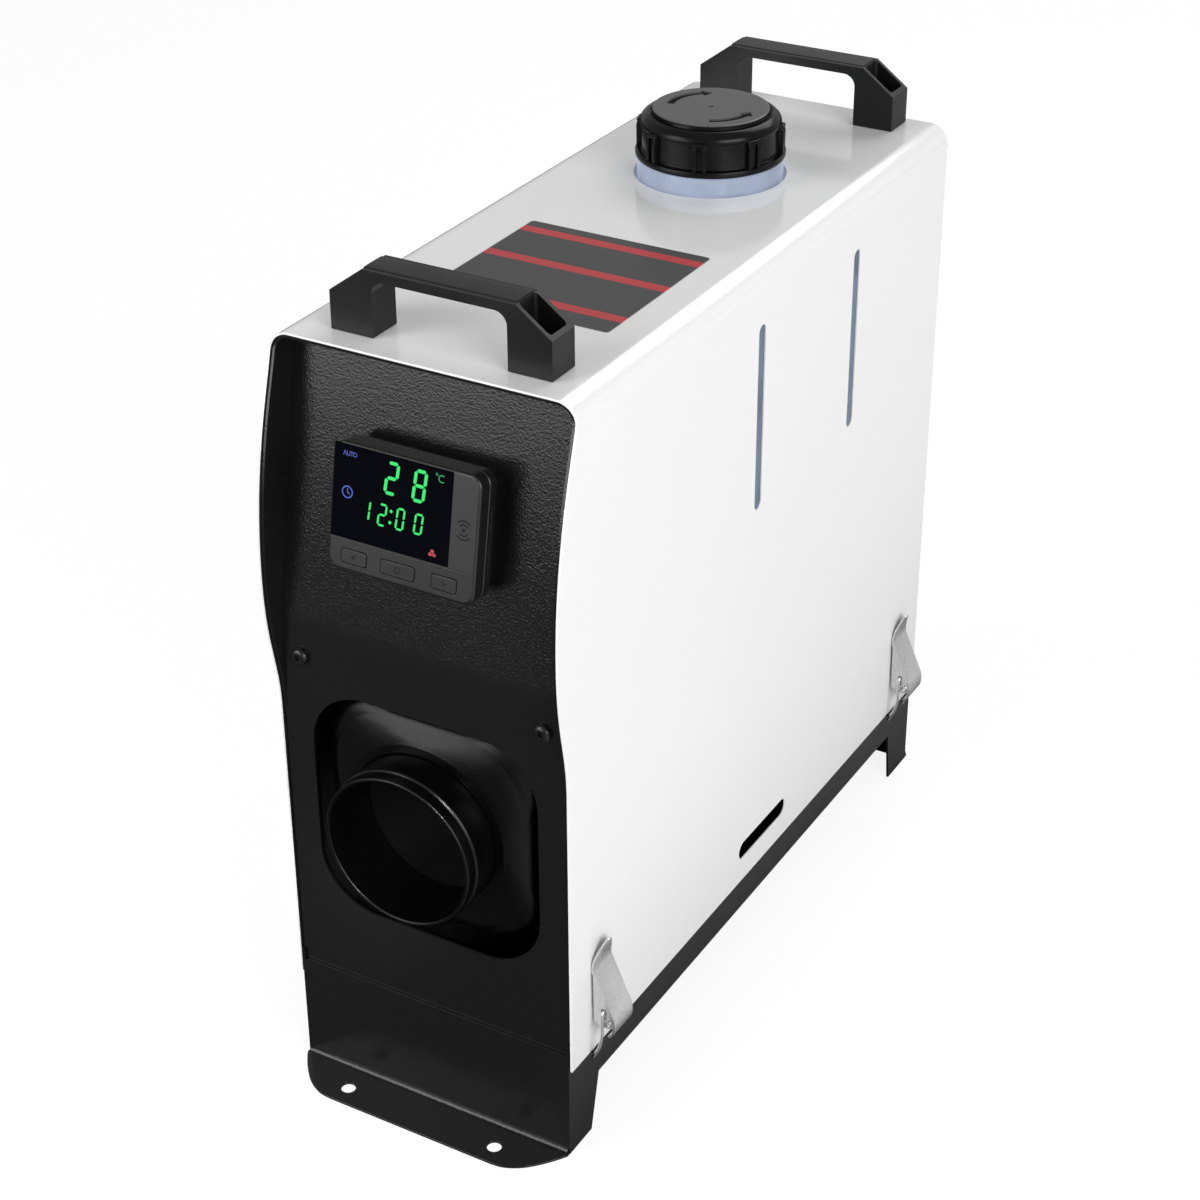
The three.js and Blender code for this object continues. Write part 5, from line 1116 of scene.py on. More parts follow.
def arrow_outline(tail, turn):
    """Curved arrow around the cap's middle, seen from above."""
    inner, outer = 17.9, 21.8
    middle = (inner + outer) / 2

    def at(radius, angle):
        return (radius * math.cos(math.radians(angle)), FILLER_Y + radius * math.sin(math.radians(angle)))

    head = tail + turn * 0.8
    shaft = [tail + turn * 0.8 * k / 12 for k in range(13)]
    outline = [at(inner, angle) for angle in shaft] + [at(inner - 2.0, head), at(middle, tail + turn)]
    outline += [at(outer + 2.0, head)] + [at(outer, angle) for angle in reversed(shaft)]
    return outline


def make_cap():
    """Screw cap: flat disc inside a ring groove, round shoulder, sunken panels between pairs of ribs."""
    b, t = CAP_BOTTOM, CAP_TOP
    profile = [(0.0, t - 4.0), (31.3, t - 4.0), (31.3, b), (35.2, b), (35.75, b + 0.2), (36.0, b + 0.8)]
    profile += [
        (36.0, b + 2.1), (35.75, b + 2.75), (35.1, b + 3.0), (33.6, b + 3.05), (33.1, b + 3.3),
        (32.95, b + 3.8)
    ]
    profile += [
        (32.9, t - 8.2), (33.1, t - 7.6), (33.6, t - 7.2), (33.75, t - 6.6), (33.6, t - 5.6), (33.1, t - 4.6)
    ]
    profile += [
        (32.3, t - 3.7), (31.3, t - 2.9), (30.4, t - 2.4), (29.7, t - 2.2), (29.2, t - 2.4), (28.95, t - 2.9)
    ]
    profile += [
        (28.5, t - 3.0), (28.2, t - 2.7), (28.05, t - 0.9), (27.8, t - 0.35), (27.2, t - 0.06), (26.6, t),
        (0.0, t)
    ]
    cap = turned("fuel_cap_finished", "z", (0, FILLER_Y, 0), profile, 128)
    tools = [prism("arrow", "z", arrow_outline(*arrow), t - 0.9, t + 2) for arrow in ((197, -84), (-65, 71))]
    tools.append(drilled_bar("dimple", "z", (0, FILLER_Y, 0), 2.6, t - 0.9, t + 2, 24))
    cut(cap, *tools)
    sunk = cap.data.attributes.new("sunk", "FLOAT", "FACE")
    # The top disc faces are marked for the cap's painted sheen.
    disc = cap.data.attributes.new("disc", "FLOAT", "FACE")
    for face in cap.data.polygons:
        level = face.center.z / MM
        inside = math.hypot(face.center.x, face.center.y - FILLER_Y * MM) / MM < 28.3
        in_mark = inside and t - 1.0 < level < t - 0.5 and face.normal.z > -0.5
        sunk.data[face.index].value = 1.0 if in_mark else 0.0
        disc.data[face.index].value = 1.0 if inside and level > t - 0.4 else 0.0
    pair = []
    for middle in (-2.35, 2.35):
        side = [
            (31.5, b + 2.0), (35.3, b + 2.0), (35.45, t - 10.6), (35.3, t - 9.2), (34.7, t - 7.8),
            (34.0, t - 6.9)
        ]
        side += [(33.4, t - 6.2), (31.5, t - 6.0)]
        rib = prism("rib", "y", side, middle - 1.0, middle + 1.0)
        soften(rib, 0.45, 3, 30)
        pair.append(rib)
    web = [(31.5, b + 2.0), (34.0, b + 2.0), (34.0, t - 8.4), (33.4, t - 7.0), (31.5, t - 6.6)]
    pair.append(prism("web", "y", web, -2.0, 2.0))
    knob = drilled_bar("knob", "y", (34.35, 0, t - 7.6), 2.0, -3.1, 3.1, 20)
    soften(knob, 0.5, 3, 40)
    pair.append(knob)
    ribs = merge("rib_pair", pair)
    places = [((0, FILLER_Y, 0), (0, 0, math.radians(45 * (k + 0.5) - 3.6))) for k in range(8)]
    ribs = repeated("cap_ribs", ribs, places, CAP_PLASTIC)
    cap = merge("fuel_cap_finished", [cap, ribs])
    shade(cap, 30)
    return fit(cap, CAP_PLASTIC, "black_plastic", "fuel_cap", body="cap")


def make_cap_plastic():
    """Satin black plastic whose sunken marks are matt and a little darker, and whose flat top disc is painted
    a lighter grey as a painted sheen.
    """
    material, tree, surface = empty_material("cap_black_plastic", Specular_IOR_Level=0.16)
    sunk = add_node(tree, "ShaderNodeAttribute", {"attribute_name": "sunk"})
    disc = add_node(tree, "ShaderNodeAttribute", {"attribute_name": "disc"})
    tone = grouped(tree, TONE, Color=grey(0.003), Amount=0.2, Scale=40.0, Dust=0.004)
    # Painted highlight: the rounded edges are lightened a little.
    glint_mask = grouped(tree, EDGE_GLINT, Amount=0.15)
    edge_glints = blend_colour(tree, glint_mask["Mask"], tone["Color"], grey(0.04))
    # Painted sheen: the top disc's colour is a lighter grey.
    painted_sheen = blend_colour(tree, disc.outputs["Fac"], edge_glints, grey(0.1))
    tree.links.new(blend_colour(tree, sunk.outputs["Fac"], painted_sheen, grey(0.001)), surface["Base Color"])
    bent = grouped(
        tree, RELIEF, Coarse_Scale=700.0, Fine_Scale=3200.0, Coarse_Height=0.3, Fine_Height=0.25, Depth=0.00003
    )
    tree.links.new(bent["Normal"], surface["Normal"])
    gloss = remap(tree, tone["Mask"], 0.0, 1.0, 0.2, 0.27)
    lifted = calculate(tree, "MULTIPLY", sunk.outputs["Fac"], 0.6)
    tree.links.new(calculate(tree, "ADD", gloss, lifted, clamp=True), surface["Roughness"])
    return material


CAP_PLASTIC = make_cap_plastic()
make_cap()


def make_fuel_tank():
    """Frame's tank with a finer neck and collar."""
    tank = from_frame("fuel_tank")
    neck = [
        (35.0, 371.0), (35.0, 386.9), (34.75, 387.45), (34.2, 387.7), (31.0, 387.7), (31.0, 403.4),
        (30.6, 404.0)
    ]
    neck += [(28.4, 404.0), (28.0, 403.5), (28.0, 371.0)]
    cut(tank, block("old_neck", (-50, 30, 372.03), (50, 130, 420)))
    soften(tank, 0.3, 2, 40)
    tank = merge("fuel_tank_finished", [tank, turned("neck", "z", (0, FILLER_Y, 0), neck, 96)])
    shade(tank, 35)
    return fit(tank, TANK_PLASTIC_PAINTED_GLOW, "tank_plastic", "fuel_tank")


make_fuel_tank()

# ------------------------------------------------------------------------------------------
# Hot-air outlet
# ------------------------------------------------------------------------------------------


def make_duct():
    outer, inner = 37.5, 35.5
    profile = [
        (inner, -180.0), (outer, -180.0), (outer, -202.9), (outer + 0.3, -203.2), (outer + 0.72, -203.6)
    ]
    profile += [
        (outer + 0.8, -204.0), (outer + 0.72, -204.4), (outer + 0.3, -204.8), (outer, -205.1), (outer, -210.1)
    ]
    profile += [(outer - 0.2, -210.6), (outer - 0.6, -210.9), (36.5, -211.0), (inner + 0.6, -210.9)]
    profile += [(inner + 0.2, -210.6), (inner, -210.1)]
    duct = turned("outlet_duct_finished", "y", (0, 0, AXIS_Z), profile, 160)
    shade(duct, 40)
    return fit(duct, DUCT_PLASTIC, "black_plastic", "outlet_duct")


def make_nose():
    """Domed cowl between the round ring and the square casing."""
    stations = [(-189.0, 41.5, 41.5), (-187.3, 45.4, 39.0), (-184.2, 50.2, 33.5), (-180.0, 54.0, 29.5)]
    stations += [(-175.5, 55.8, 28.0), (-168.5, 56.0, 28.0)]
    path = smooth_path(stations, 7)

    def ring(y, half, radius):
        return (y, rounded_rectangle(0, AXIS_Z, 2 * half, 2 * half, min(radius, half - 0.001), 24))

    rings = [ring(p.x, p.y, p.z) for p in path]
    back = [
        ring(-168.5, 53.5, 25.5), ring(-180.0, 53.3, 25.5), ring(-183.5, 50.6, 28.5), ring(-185.8, 45.0, 36.0)
    ]
    back += [
        ring(-186.5, 38.6, 38.6), ring(-186.7, 37.8, 37.8), ring(-188.6, 37.8, 37.8), ring(-189.0, 38.2, 38.2)
    ]
    nose = lofted("heater_nose_finished", "y", rings + back, closed=True)
    shade(nose, 32)
    return fit(nose, DUCT_PLASTIC, "black_plastic", "heater_nose")


DUCT_PLASTIC = painted(
    "outlet_black_plastic",
    grey(0.001),
    drift=0.2,
    scale=30.0,
    dust=0.0,
    relief=peel(1300.0, 3600.0, 0.6, 0.3, 0.00009),
    edge_glint=0.1,
    edge_glint_colour=grey(0.02),
    roughness=0.26,
    spread=0.03,
    Specular_IOR_Level=0.2,
)
make_duct()
make_nose()

# ------------------------------------------------------------------------------------------
# Controller: drawn upright around its middle, then leaned back on the panel
# ------------------------------------------------------------------------------------------

CONTROLLER_Z = (FOLD_Z + COVER_TOP) / 2
LEANED = Matrix.Translation(Vector((0, leaning_y(CONTROLLER_Z), CONTROLLER_Z)) * MM) @ Matrix.Rotation(
    -LEAN, 4, "X"
)
FACE_Y = -18.6
SCREEN = (-35.4, -13.75, 23.0, 27.25)
BUTTON_Z = -21.45
BUTTONS = {"button_down": (-23.1, 12.6), "button_power": (-1.2, 16.8), "button_up": (21.7, 12.2)}


def rounded_slab(name, width, height, radius, profile):
    """Block with round corners; the profile gives (place along Y, how far the outline is drawn in)."""
    rings = []
    for y, inset in profile:
        outline = rounded_rectangle(0, 0, width - 2 * inset, height - 2 * inset, max(radius - inset, 0.4), 10)
        rings.append((y, outline))
    return lofted(name, "y", rings)


def make_cradle():
    profile = [(-0.3, 0.0), (-2.2, 0.0), (-2.5, 0.5), (-3.1, 0.5), (-3.4, 0.0), (-5.4, 0.0), (-5.8, 0.4)]
    cradle = rounded_slab("controller_cradle_finished", 67.0, 50.7, 6.0, profile)
    tab = block("tab", (8.05, -5.8, -30.85), (16.55, -0.3, -22.0))
    soften(tab, 0.8, 3, 40)
    cradle = merge("controller_cradle_finished", [cradle, tab])
    cradle.data.transform(LEANED)
    shade(cradle, 35)
    return fit(cradle, BLACK_PLASTIC, "black_plastic", "controller_cradle")


def make_housing():
    profile = [(-6.1, 1.0), (-6.5, 0.3), (-7.2, 0.0), (-11.3, 0.0), (-11.6, 0.3), (-12.1, 0.3), (-12.4, 0.0)]
    profile += [(-17.2, 0.0), (-17.75, 0.12), (-18.2, 0.42), (-18.5, 0.85), (-18.6, 1.4)]
    housing = rounded_slab("controller_housing_finished", 73.0, 56.7, 6.0, profile)
    left, low, right, high = SCREEN
    recess = (left - 0.15, FACE_Y - 1, low - 0.15), (right + 0.15, FACE_Y + 1.3, high + 0.15)
    tools = [block("screen_recess", *recess)]
    for x, width in BUTTONS.values():
        well = rounded_rectangle(x, BUTTON_Z, width + 0.6, 6.8, 1.5, 6)
        tools.append(prism("well", "y", well, FACE_Y - 1, FACE_Y + 3.2))
    cut(housing, *tools)
    soften(housing, 0.12, 2, 50)
    parts = [housing]
    for side in (-1, 1):
        low_x, high_x = sorted((side * 36.2, side * 37.1))
        ridge = block("grip_ridge", (low_x, -9.9, -17.0), (high_x, -8.4, 14.0))
        soften(ridge, 0.3, 2, 40)
        parts.append(ridge)
    housing = merge("controller_housing_finished", parts)
    housing.data.transform(LEANED)
    shade(housing, 40)
    return fit(housing, GREY_PLASTIC, "dark_grey_plastic", "controller_housing")


def make_strip():
    """Paler cover strip beside the screen, and the raised line under the screen, made in the paler plastic as
    a painted highlight.
    """
    steps = [math.pi / 2 * k / 8 for k in range(9)]
    corner = [(30.5 + 4.6 * math.cos(a), 22.35 + 4.6 * math.sin(a)) for a in steps]
    plate = prism(
        "strip", "y", [(23.35, -13.9), (35.1, -13.9), *corner, (23.35, 26.95)], FACE_Y - 0.1, FACE_Y + 0.3
    )
    soften(plate, 0.08, 1, 40)
    # Painted highlight: the thin line under the screen is made of the paler plastic.
    line = prism(
        "line", "y", [(-35.4, -14.95), (35.4, -14.95), (35.4, -14.4), (-35.4, -14.4)], FACE_Y - 0.16,
        FACE_Y + 0.3
    )
    soften(line, 0.12, 2, 40)
    strip = merge("controller_strip", [plate, line])
    strip.data.transform(LEANED)
    shade(strip, 35)
    return fit(strip, STRIP_PLASTIC, "dark_grey_plastic")


STRIP_PLASTIC = painted(
    "controller_pale_strip",
    grey(0.009),
    drift=0.12,
    scale=30.0,
    dust=0.0,
    relief=peel(2000.0, 5000.0, 0.4, 0.3, 0.00003),
    edge_glint=0.3,
    edge_glint_colour=grey(0.15),
    roughness=0.42,
    spread=0.03,
)
GREEN, FAINT_GREEN = (0.0, 0.72, 0.12), (0.0, 0.3, 0.07)
BLUE, RED, INK = (0.05, 0.08, 0.55), (0.4, 0.0, 0.04), (0.0, 0.0, 0.0)


def line_marks(points, width, tint):
    """Stroke of even width along a run of points."""
    marks = []
    for (x0, z0), (x1, z1) in zip(points, points[1:]):
        run = math.hypot(x1 - x0, z1 - z0)
        ax, az = (x1 - x0) / run * width / 2, (z1 - z0) / run * width / 2
        ends = [(x0 - ax * 0.4, z0 - az * 0.4), (x1 + ax * 0.4, z1 + az * 0.4)]
        sides = ((ends[0], 1), (ends[1], 1), (ends[1], -1), (ends[0], -1))
        marks.append(([(x - az * s, z + ax * s) for (x, z), s in sides], tint))
    return marks


def dot_mark(x, z, width, height, count, tint):
    """Filled round mark of half width and half height."""
    angles = [2 * math.pi / count * k for k in range(count)]
    return [([(x + width * math.cos(a), z + height * math.sin(a)) for a in angles], tint)]


def arc_marks(x, z, radius, width, start, end, tint, steps=14):
    """Stroke along a circle, from one angle to another in degrees."""
    points = []
    for k in range(steps + 1):
        angle = math.radians(start + (end - start) * k / steps)
        points.append((x + radius * math.cos(angle), z + radius * math.sin(angle)))
    return line_marks(points, width, tint)


def digit_marks(character, x, low, high, width, bar, tint):
    """Lit bars of one seven-bar digit, a little slanted."""
    lit = {"0": "abcdef", "1": "bc", "2": "abged", "8": "abcdefg"}[character]
    middle, gap, half = (low + high) / 2, bar * 0.16, bar / 2
    left, right = x - width / 2 + half, x + width / 2 - half
    runs = {"a": ((left, high - half), (right, high - half)), "g": ((left, middle), (right, middle))}
    runs["d"] = ((left, low + half), (right, low + half))
    runs["b"] = ((right, middle), (right, high - half))
    runs["c"] = ((right, low + half), (right, middle))
    runs["f"] = ((left, middle), (left, high - half))
    runs["e"] = ((left, low + half), (left, middle))
    marks = []
    for key in lit:
        (x0, z0), (x1, z1) = runs[key]
        if z0 == z1:
            shape = [(x0 + gap, z0), (x0 + gap + half, z0 + half), (x1 - gap - half, z0 + half)]
            shape += [(x1 - gap, z0), (x1 - gap - half, z0 - half), (x0 + gap + half, z0 - half)]
        else:
            shape = [(x0, z0 + gap), (x0 + half, z0 + gap + half), (x0 + half, z1 - gap - half)]
            shape += [(x0, z1 - gap), (x0 - half, z1 - gap - half), (x0 - half, z0 + gap + half)]
        marks.append(([(a + (b - middle) * 0.09, b) for a, b in shape], tint))
    return marks


def marks_piece(name, marks, y):
    """Thin printed or lit marks on the controller, facing forwards, each with its own colour."""
    points, faces = [], []
    for outline, _ in marks:
        turn = sum(a[0] * b[1] - b[0] * a[1] for a, b in zip(outline, outline[1:] + outline[:1]))
        shape = outline if turn > 0 else outline[::-1]
        faces.append(tuple(range(len(points), len(points) + len(shape))))
        points += [Vector((a, y, b)) * MM for a, b in shape]
    mesh = bpy.data.meshes.new(name)
    mesh.from_pydata(points, [], faces)
    tints = mesh.attributes.new("tint", "FLOAT_COLOR", "FACE")
    for k, (_, tint) in enumerate(marks):
        tints.data[k].color = (*tint, 1.0)
    piece = bpy.data.objects.new(name, mesh)
    bpy.context.scene.collection.objects.link(piece)
    mesh.transform(LEANED)
    return piece


def display_marks():
    marks = digit_marks("2", -6.6, 10.2, 24.9, 6.5, 1.5, GREEN)
    marks += digit_marks("8", 7.1, 10.3, 24.7, 6.5, 1.5, GREEN)
    marks += digit_marks("1", -18.4, -3.7, 5.6, 4.2, 0.9, GREEN)
    marks += digit_marks("2", -10.3, -4.3, 5.8, 4.3, 0.95, GREEN)
    marks += digit_marks("0", -1.4, -4.0, 6.0, 4.3, 0.95, GREEN)
    marks += digit_marks("0", 7.6, -3.6, 5.8, 4.4, 0.95, GREEN)
    for x, z in ((-6.0, 3.4), (-6.3, -1.6)):
        marks += dot_mark(x, z, 0.75, 0.75, 10, GREEN)
    marks += arc_marks(15.1, 24.6, 0.5, 0.25, 0, 360, FAINT_GREEN, 10)
    marks += arc_marks(17.6, 23.1, 1.5, 0.45, 55, 305, FAINT_GREEN, 12)
    marks += line_marks([(-30.9, 22.4), (-30.2, 24.4), (-29.5, 22.4)], 0.25, BLUE)
    marks += line_marks(
        [(-29.1, 24.4), (-29.1, 22.8), (-28.4, 22.4), (-27.8, 22.8), (-27.8, 24.4)], 0.25, BLUE
    )
    marks += line_marks([(-27.5, 24.3), (-26.2, 24.3)], 0.25, BLUE) + line_marks(
        [(-26.8, 24.3), (-26.8, 22.4)], 0.25, BLUE
    )
    marks += arc_marks(-25.2, 23.4, 0.85, 0.25, 0, 360, BLUE, 12)
    marks += arc_marks(-28.1, 6.6, 2.5, 0.5, 0, 360, BLUE, 24)
    marks += line_marks([(-28.1, 8.2), (-28.1, 6.4), (-26.9, 6.0)], 0.4, BLUE)
    for k in range(3):
        angle = math.radians(90 + 120 * k)
        x, z = 15.1 + 1.1 * math.cos(angle), -9.8 + 1.0 * math.sin(angle)
        marks += dot_mark(x, z, 1.0, 0.8, 8, RED)
    return marks


def printed_marks():
    """Dark radio mark on the pale strip."""
    x, z = 29.5, 3.9
    marks = dot_mark(x, z, 0.75, 0.75, 12, INK)
    for radius in (2.4, 4.1):
        marks += arc_marks(x, z, radius, 0.55, 40, 140, INK, 10) + arc_marks(
            x, z, radius, 0.55, 220, 320, INK, 10
        )
    return marks


def button_marks():
    """Small sunken signs of the three buttons."""
    z = BUTTON_Z
    left, right = BUTTONS["button_down"][0], BUTTONS["button_up"][0]
    signs = {
        "button_down": line_marks([(left + 1.0, z + 1.0), (left - 1.0, z), (left + 1.0, z - 1.0)], 0.45, INK)
    }
    signs["button_up"] = line_marks(
        [(right - 1.0, z + 1.0), (right + 1.0, z), (right - 1.0, z - 1.0)], 0.45, INK
    )
    middle = BUTTONS["button_power"][0]
    signs["button_power"] = arc_marks(middle, z, 1.35, 0.4, 120, 420, INK, 14) + line_marks(
        [(middle, z + 1.7), (middle, z + 0.2)], 0.4, INK
    )
    return signs


def make_lit_material():
    """Lit display marks: every mark glows in its own colour, a little uneven."""
    material, tree, surface = empty_material("lit_display_marks", Roughness=0.4, Emission_Strength=1.0)
    tint = add_node(tree, "ShaderNodeAttribute", {"attribute_name": "tint"})
    place = add_node(tree, "ShaderNodeTexCoord")
    patches = remap(tree, noise(tree, place.outputs["Object"], 900.0, 2.0), 0.3, 0.7)
    glow = blend_colour(tree, patches, tint.outputs["Color"], (0.0, 0.62, 0.1, 1.0))
    paler = blend_colour(tree, 0.08, tint.outputs["Color"], glow)
    tree.links.new(paler, surface["Emission Color"])
    tree.links.new(blend_colour(tree, 0.9, tint.outputs["Color"], grey(0.01)), surface["Base Color"])
    return material


def make_ink_material():
    """Matt black print with a slightly broken tone."""
    material, tree, surface = empty_material("printed_black", Roughness=0.6, Specular_IOR_Level=0.2)
    tone = grouped(tree, TONE, Color=grey(0.003), Amount=0.4, Scale=300.0, Dust=0.0)
    tree.links.new(tone["Color"], surface["Base Color"])
    return material


def make_screen_material():
    """Smooth black window, faintly blue, with a very slight unevenness."""
    material, tree, surface = empty_material("display_window", Roughness=0.12, Specular_IOR_Level=0.02)
    tone = grouped(tree, TONE, Color=(0.0025, 0.0027, 0.0045, 1.0), Amount=0.2, Scale=60.0, Dust=0.0)
    tree.links.new(tone["Color"], surface["Base Color"])
    return material


def make_controller():
    make_cradle()
    make_housing()
    make_strip()
    lit, ink = make_lit_material(), make_ink_material()
    fit(marks_piece("display_marks", display_marks(), FACE_Y - 0.04), lit, "display_window")
    fit(marks_piece("strip_marks", printed_marks(), FACE_Y - 0.13), ink, "dark_grey_plastic")
    for node, marks in button_marks().items():
        piece = from_frame(node)
        soften(piece, 0.3, 3, 32)
        shade(piece, 35)
        fit(piece, GREY_PLASTIC, "dark_grey_plastic", node, body=node)
        fit(marks_piece(f"{node}_sign", marks, FACE_Y - 0.39), ink, "dark_grey_plastic", body=node)


SCREEN_WINDOW = make_screen_material()
make_controller()

# ------------------------------------------------------------------------------------------
# Toggle latches: drawn for the right side from the cover's face and its lower edge
# ------------------------------------------------------------------------------------------

LATCH_HALF = 8.25


def set_latch(piece, side, y):
    """Moves a latch piece to its place; the left side is the mirror of the right."""
    move = Matrix.Translation(Vector((side * COVER_HALF, y, COVER_BOTTOM)) * MM)
    piece.data.transform(move @ Matrix.Diagonal((side, 1, 1, 1)))
    if side < 0:
        piece.data.flip_normals()
    return piece


def tongue_outline():
    """Lever seen from the front: full width below, drawn in to a round tip above."""
    right = [
        (LATCH_HALF, 46.0), (8.1, 49.4), (7.3, 52.6), (5.6, 55.8), (3.9, 58.2), (2.6, 59.7), (1.3, 60.5),
        (0.0, 60.7)
    ]
    curve = flat_path(right, 4)
    half = [(LATCH_HALF, 0.0)] + curve
    return [(-y, z) for y, z in half] + [(y, z) for y, z in reversed(half[:-1])]


def make_lever(place, side, y):
    """Lever of bent sheet with a cheek on each side, the pivot bore and the eye for the wire."""
    bend = flat_path([(1.4, 46.0), (1.5, 49.2), (2.1, 52.6), (3.4, 56.6), (5.0, 60.6)], 5)
    chin = flat_path([(9.3, 11.3), (11.6, 14.0), (12.3, 16.8), (12.4, 19.6), (11.95, 22.8)], 4)
    lever = prism("lever", "y", sheet_strip(chin + bend, 1.0), -LATCH_HALF, LATCH_HALF)
    cheek = [
        (1.6, 18.6), (5.8, 17.1), (8.2, 16.6), (10.7, 17.2), (12.2, 17.0), (12.0, 22.6), (1.5, 46.3),
        (1.1, 45.0)
    ]
    for inner, outer in ((LATCH_HALF - 1.0, LATCH_HALF), (-LATCH_HALF, 1.0 - LATCH_HALF)):
        join(lever, prism("cheek", "y", cheek, inner, outer))
    trim(lever, prism("tongue", "x", tongue_outline(), -20, 40))
    cut(
        lever, drilled_bar("bore", "y", (8.8, 0, 19.6), 3.8, -20, 20, 24),
        drilled_bar("eye", "y", (6.5, 0, 25.7), 2.6, -20, 20, 24)
    )
    soften(lever, 0.22, 2, 32)
    shade(lever, 35)
    set_latch(lever, side, y)
    lever.name = f"latch_lever_{place}_finished"
    return fit(lever, LATCH_STEEL, "plated_latch_steel", f"latch_lever_{place}", body=f"lever_{place}")


def make_bail(place, side, y):
    """Round wire from the two eyes down and in under the keeper."""
    half = [
        (6.5, 6.75, 25.7), (6.5, 8.5, 25.65), (6.5, 9.5, 24.4), (6.5, 9.5, 17.7), (6.3, 9.5, 12.0),
        (4.9, 9.5, 5.0)
    ]
    half += [(2.5, 9.5, 0.05), (1.0, 8.4, -2.85), (0.8, 6.1, -3.15)]
    points = half + [(a, -b, c) for a, b, c in reversed(half)]
    bail = wire("bail", points, 1.5, 16, 5)
    shade(bail, 50)
    set_latch(bail, side, y)
    bail.name = f"latch_bail_{place}_finished"
    return fit(bail, WIRE_STEEL, "plated_latch_steel", f"latch_bail_{place}", body=f"bail_{place}")


def make_latch_plate(place, side, y):
    """Frame's back plate with its pin, and a rolled head at both ends of the pin."""
    plate = from_frame(f"latch_plate_{place}")
    soften(plate, 0.15, 2, 32)
    head = [(0.0, 0.0), (1.9, 0.0), (2.1, 0.25), (2.0, 0.6), (1.4, 0.75), (1.0, 0.5), (0.0, 0.45)]
    for end in (-1, 1):
        rolled = turned("rivet", "y", (8.8, end * 8.3, 19.6), [(r, end * a) for r, a in head], 24)
        set_latch(rolled, side, y)
        plate = merge(f"latch_plate_{place}_finished", [plate, rolled])
    shade(plate, 35)
    return fit(plate, LATCH_STEEL, "plated_latch_steel", f"latch_plate_{place}")


WIRE_STEEL = metal(
    "plated_wire",
    grey(0.7),
    drift=0.1,
    relief=peel(900.0, 3000.0, 0.3, 0.2, 0.00003),
    roughness=0.22,
    spread=0.06,
)
for side, end, y in (
    (1, "front_right", -163.2), (1, "rear_right", 162.8), (-1, "front_left", -163.2), (-1, "rear_left", 162.8)
):
    make_lever(end, side, y)
    make_bail(end, side, y)
    make_latch_plate(end, side, y)

# ------------------------------------------------------------------------------------------
# Label and the remaining pieces
# ------------------------------------------------------------------------------------------


def make_label_film():
    """Charcoal film with three plain red bands across it."""
    material, tree, surface = empty_material("label_film", Specular_IOR_Level=0.45)
    tone = grouped(tree, TONE, Color=grey(0.032), Amount=0.1, Scale=14.0, Dust=0.0)
    place = add_node(tree, "ShaderNodeTexCoord")
    axes = add_node(tree, "ShaderNodeSeparateXYZ", i0=place.outputs["Object"])
    grain = remap(tree, noise(tree, place.outputs["Object"], 1400.0, 2.0), 0.3, 0.7)
    colour = tone["Color"]
    for middle in (-0.0305, -0.0615, -0.0985):
        away = calculate(tree, "ABSOLUTE", calculate(tree, "SUBTRACT", axes.outputs["Y"], middle))
        band = remap(tree, away, 0.00295, 0.00305, 1.0, 0.0)
        red = blend_colour(tree, grain, (0.42, 0.017, 0.022, 1.0), (0.5, 0.022, 0.028, 1.0))
        colour = blend_colour(tree, band, colour, red)
    tree.links.new(colour, surface["Base Color"])
    bent = grouped(
        tree, RELIEF, Coarse_Scale=500.0, Fine_Scale=2500.0, Coarse_Height=0.4, Fine_Height=0.2, Depth=0.00003
    )
    tree.links.new(bent["Normal"], surface["Normal"])
    tree.links.new(remap(tree, tone["Mask"], 0.0, 1.0, 0.3, 0.36), surface["Roughness"])
    return material


def make_label():
    label = prism(
        "top_label_finished", "z", rounded_rectangle(5.3, -66.8, 91.8, 91.2, 1.5, 6), 379.05, 379.35
    )
    soften(label, 0.08, 2, 40)
    shade(label, 35)
    return fit(label, make_label_film(), "label_film", "top_label")


make_label()


def finish_from_frame(node, material, slot, width=0.25, segments=2, angle=32.0, body="chassis"):
    """Dressed copy of a CAD node with rounded edges."""
    piece = from_frame(node)
    soften(piece, width, segments, angle)
    shade(piece, 35)
    return fit(piece, material, slot, node, body=body)


for node, material, slot in (
    ("back_panel", BLACK_COAT, "black_powder_coat"),
    ("heater_bracket", BLACK_COAT, "black_powder_coat"),
    ("tank_shelf", ZINC_STEEL, "galvanised_steel"),
    ("burner_tube", ZINC_STEEL, "galvanised_steel"),
    ("fan_motor", ZINC_STEEL, "galvanised_steel"),
    ("exhaust_pipe", ZINC_STEEL, "galvanised_steel"),
    ("heater_casing_upper", BLACK_PLASTIC, "black_plastic"),
    ("heater_casing_lower", BLACK_PLASTIC, "black_plastic"),
    ("intake_grille", BLACK_PLASTIC, "black_plastic"),
    ("combustion_air_pipe", BLACK_PLASTIC, "black_plastic"),
    ("heat_exchanger", CAST_ALUMINIUM, "cast_aluminium"),
    ("cable_gland", RUBBER, "black_rubber"),
    ("fuel_pump", BRIGHT_STEEL, "bright_steel"),
):
    finish_from_frame(node, material, slot, 0.3)

CARRIED = {
    "controller_screen": SCREEN_WINDOW,
    "cap_seal": RUBBER,
    "pump_clamp": RUBBER,
    "fuel_supply_hose": RUBBER,
    "fuel_feed_hose": RUBBER,
    "wiring_loom": RUBBER,
    "combustion_impeller": CAST_ALUMINIUM,
    "glow_plug": BRIGHT_STEEL,
    "motor_shaft": BRIGHT_STEEL,
    "blower_wheel": BLACK_PLASTIC,
    "control_board": CIRCUIT_BOARD,
}
for node, material in CARRIED.items():
    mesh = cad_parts[node].data
    mesh.materials.clear()
    mesh.materials.append(material)

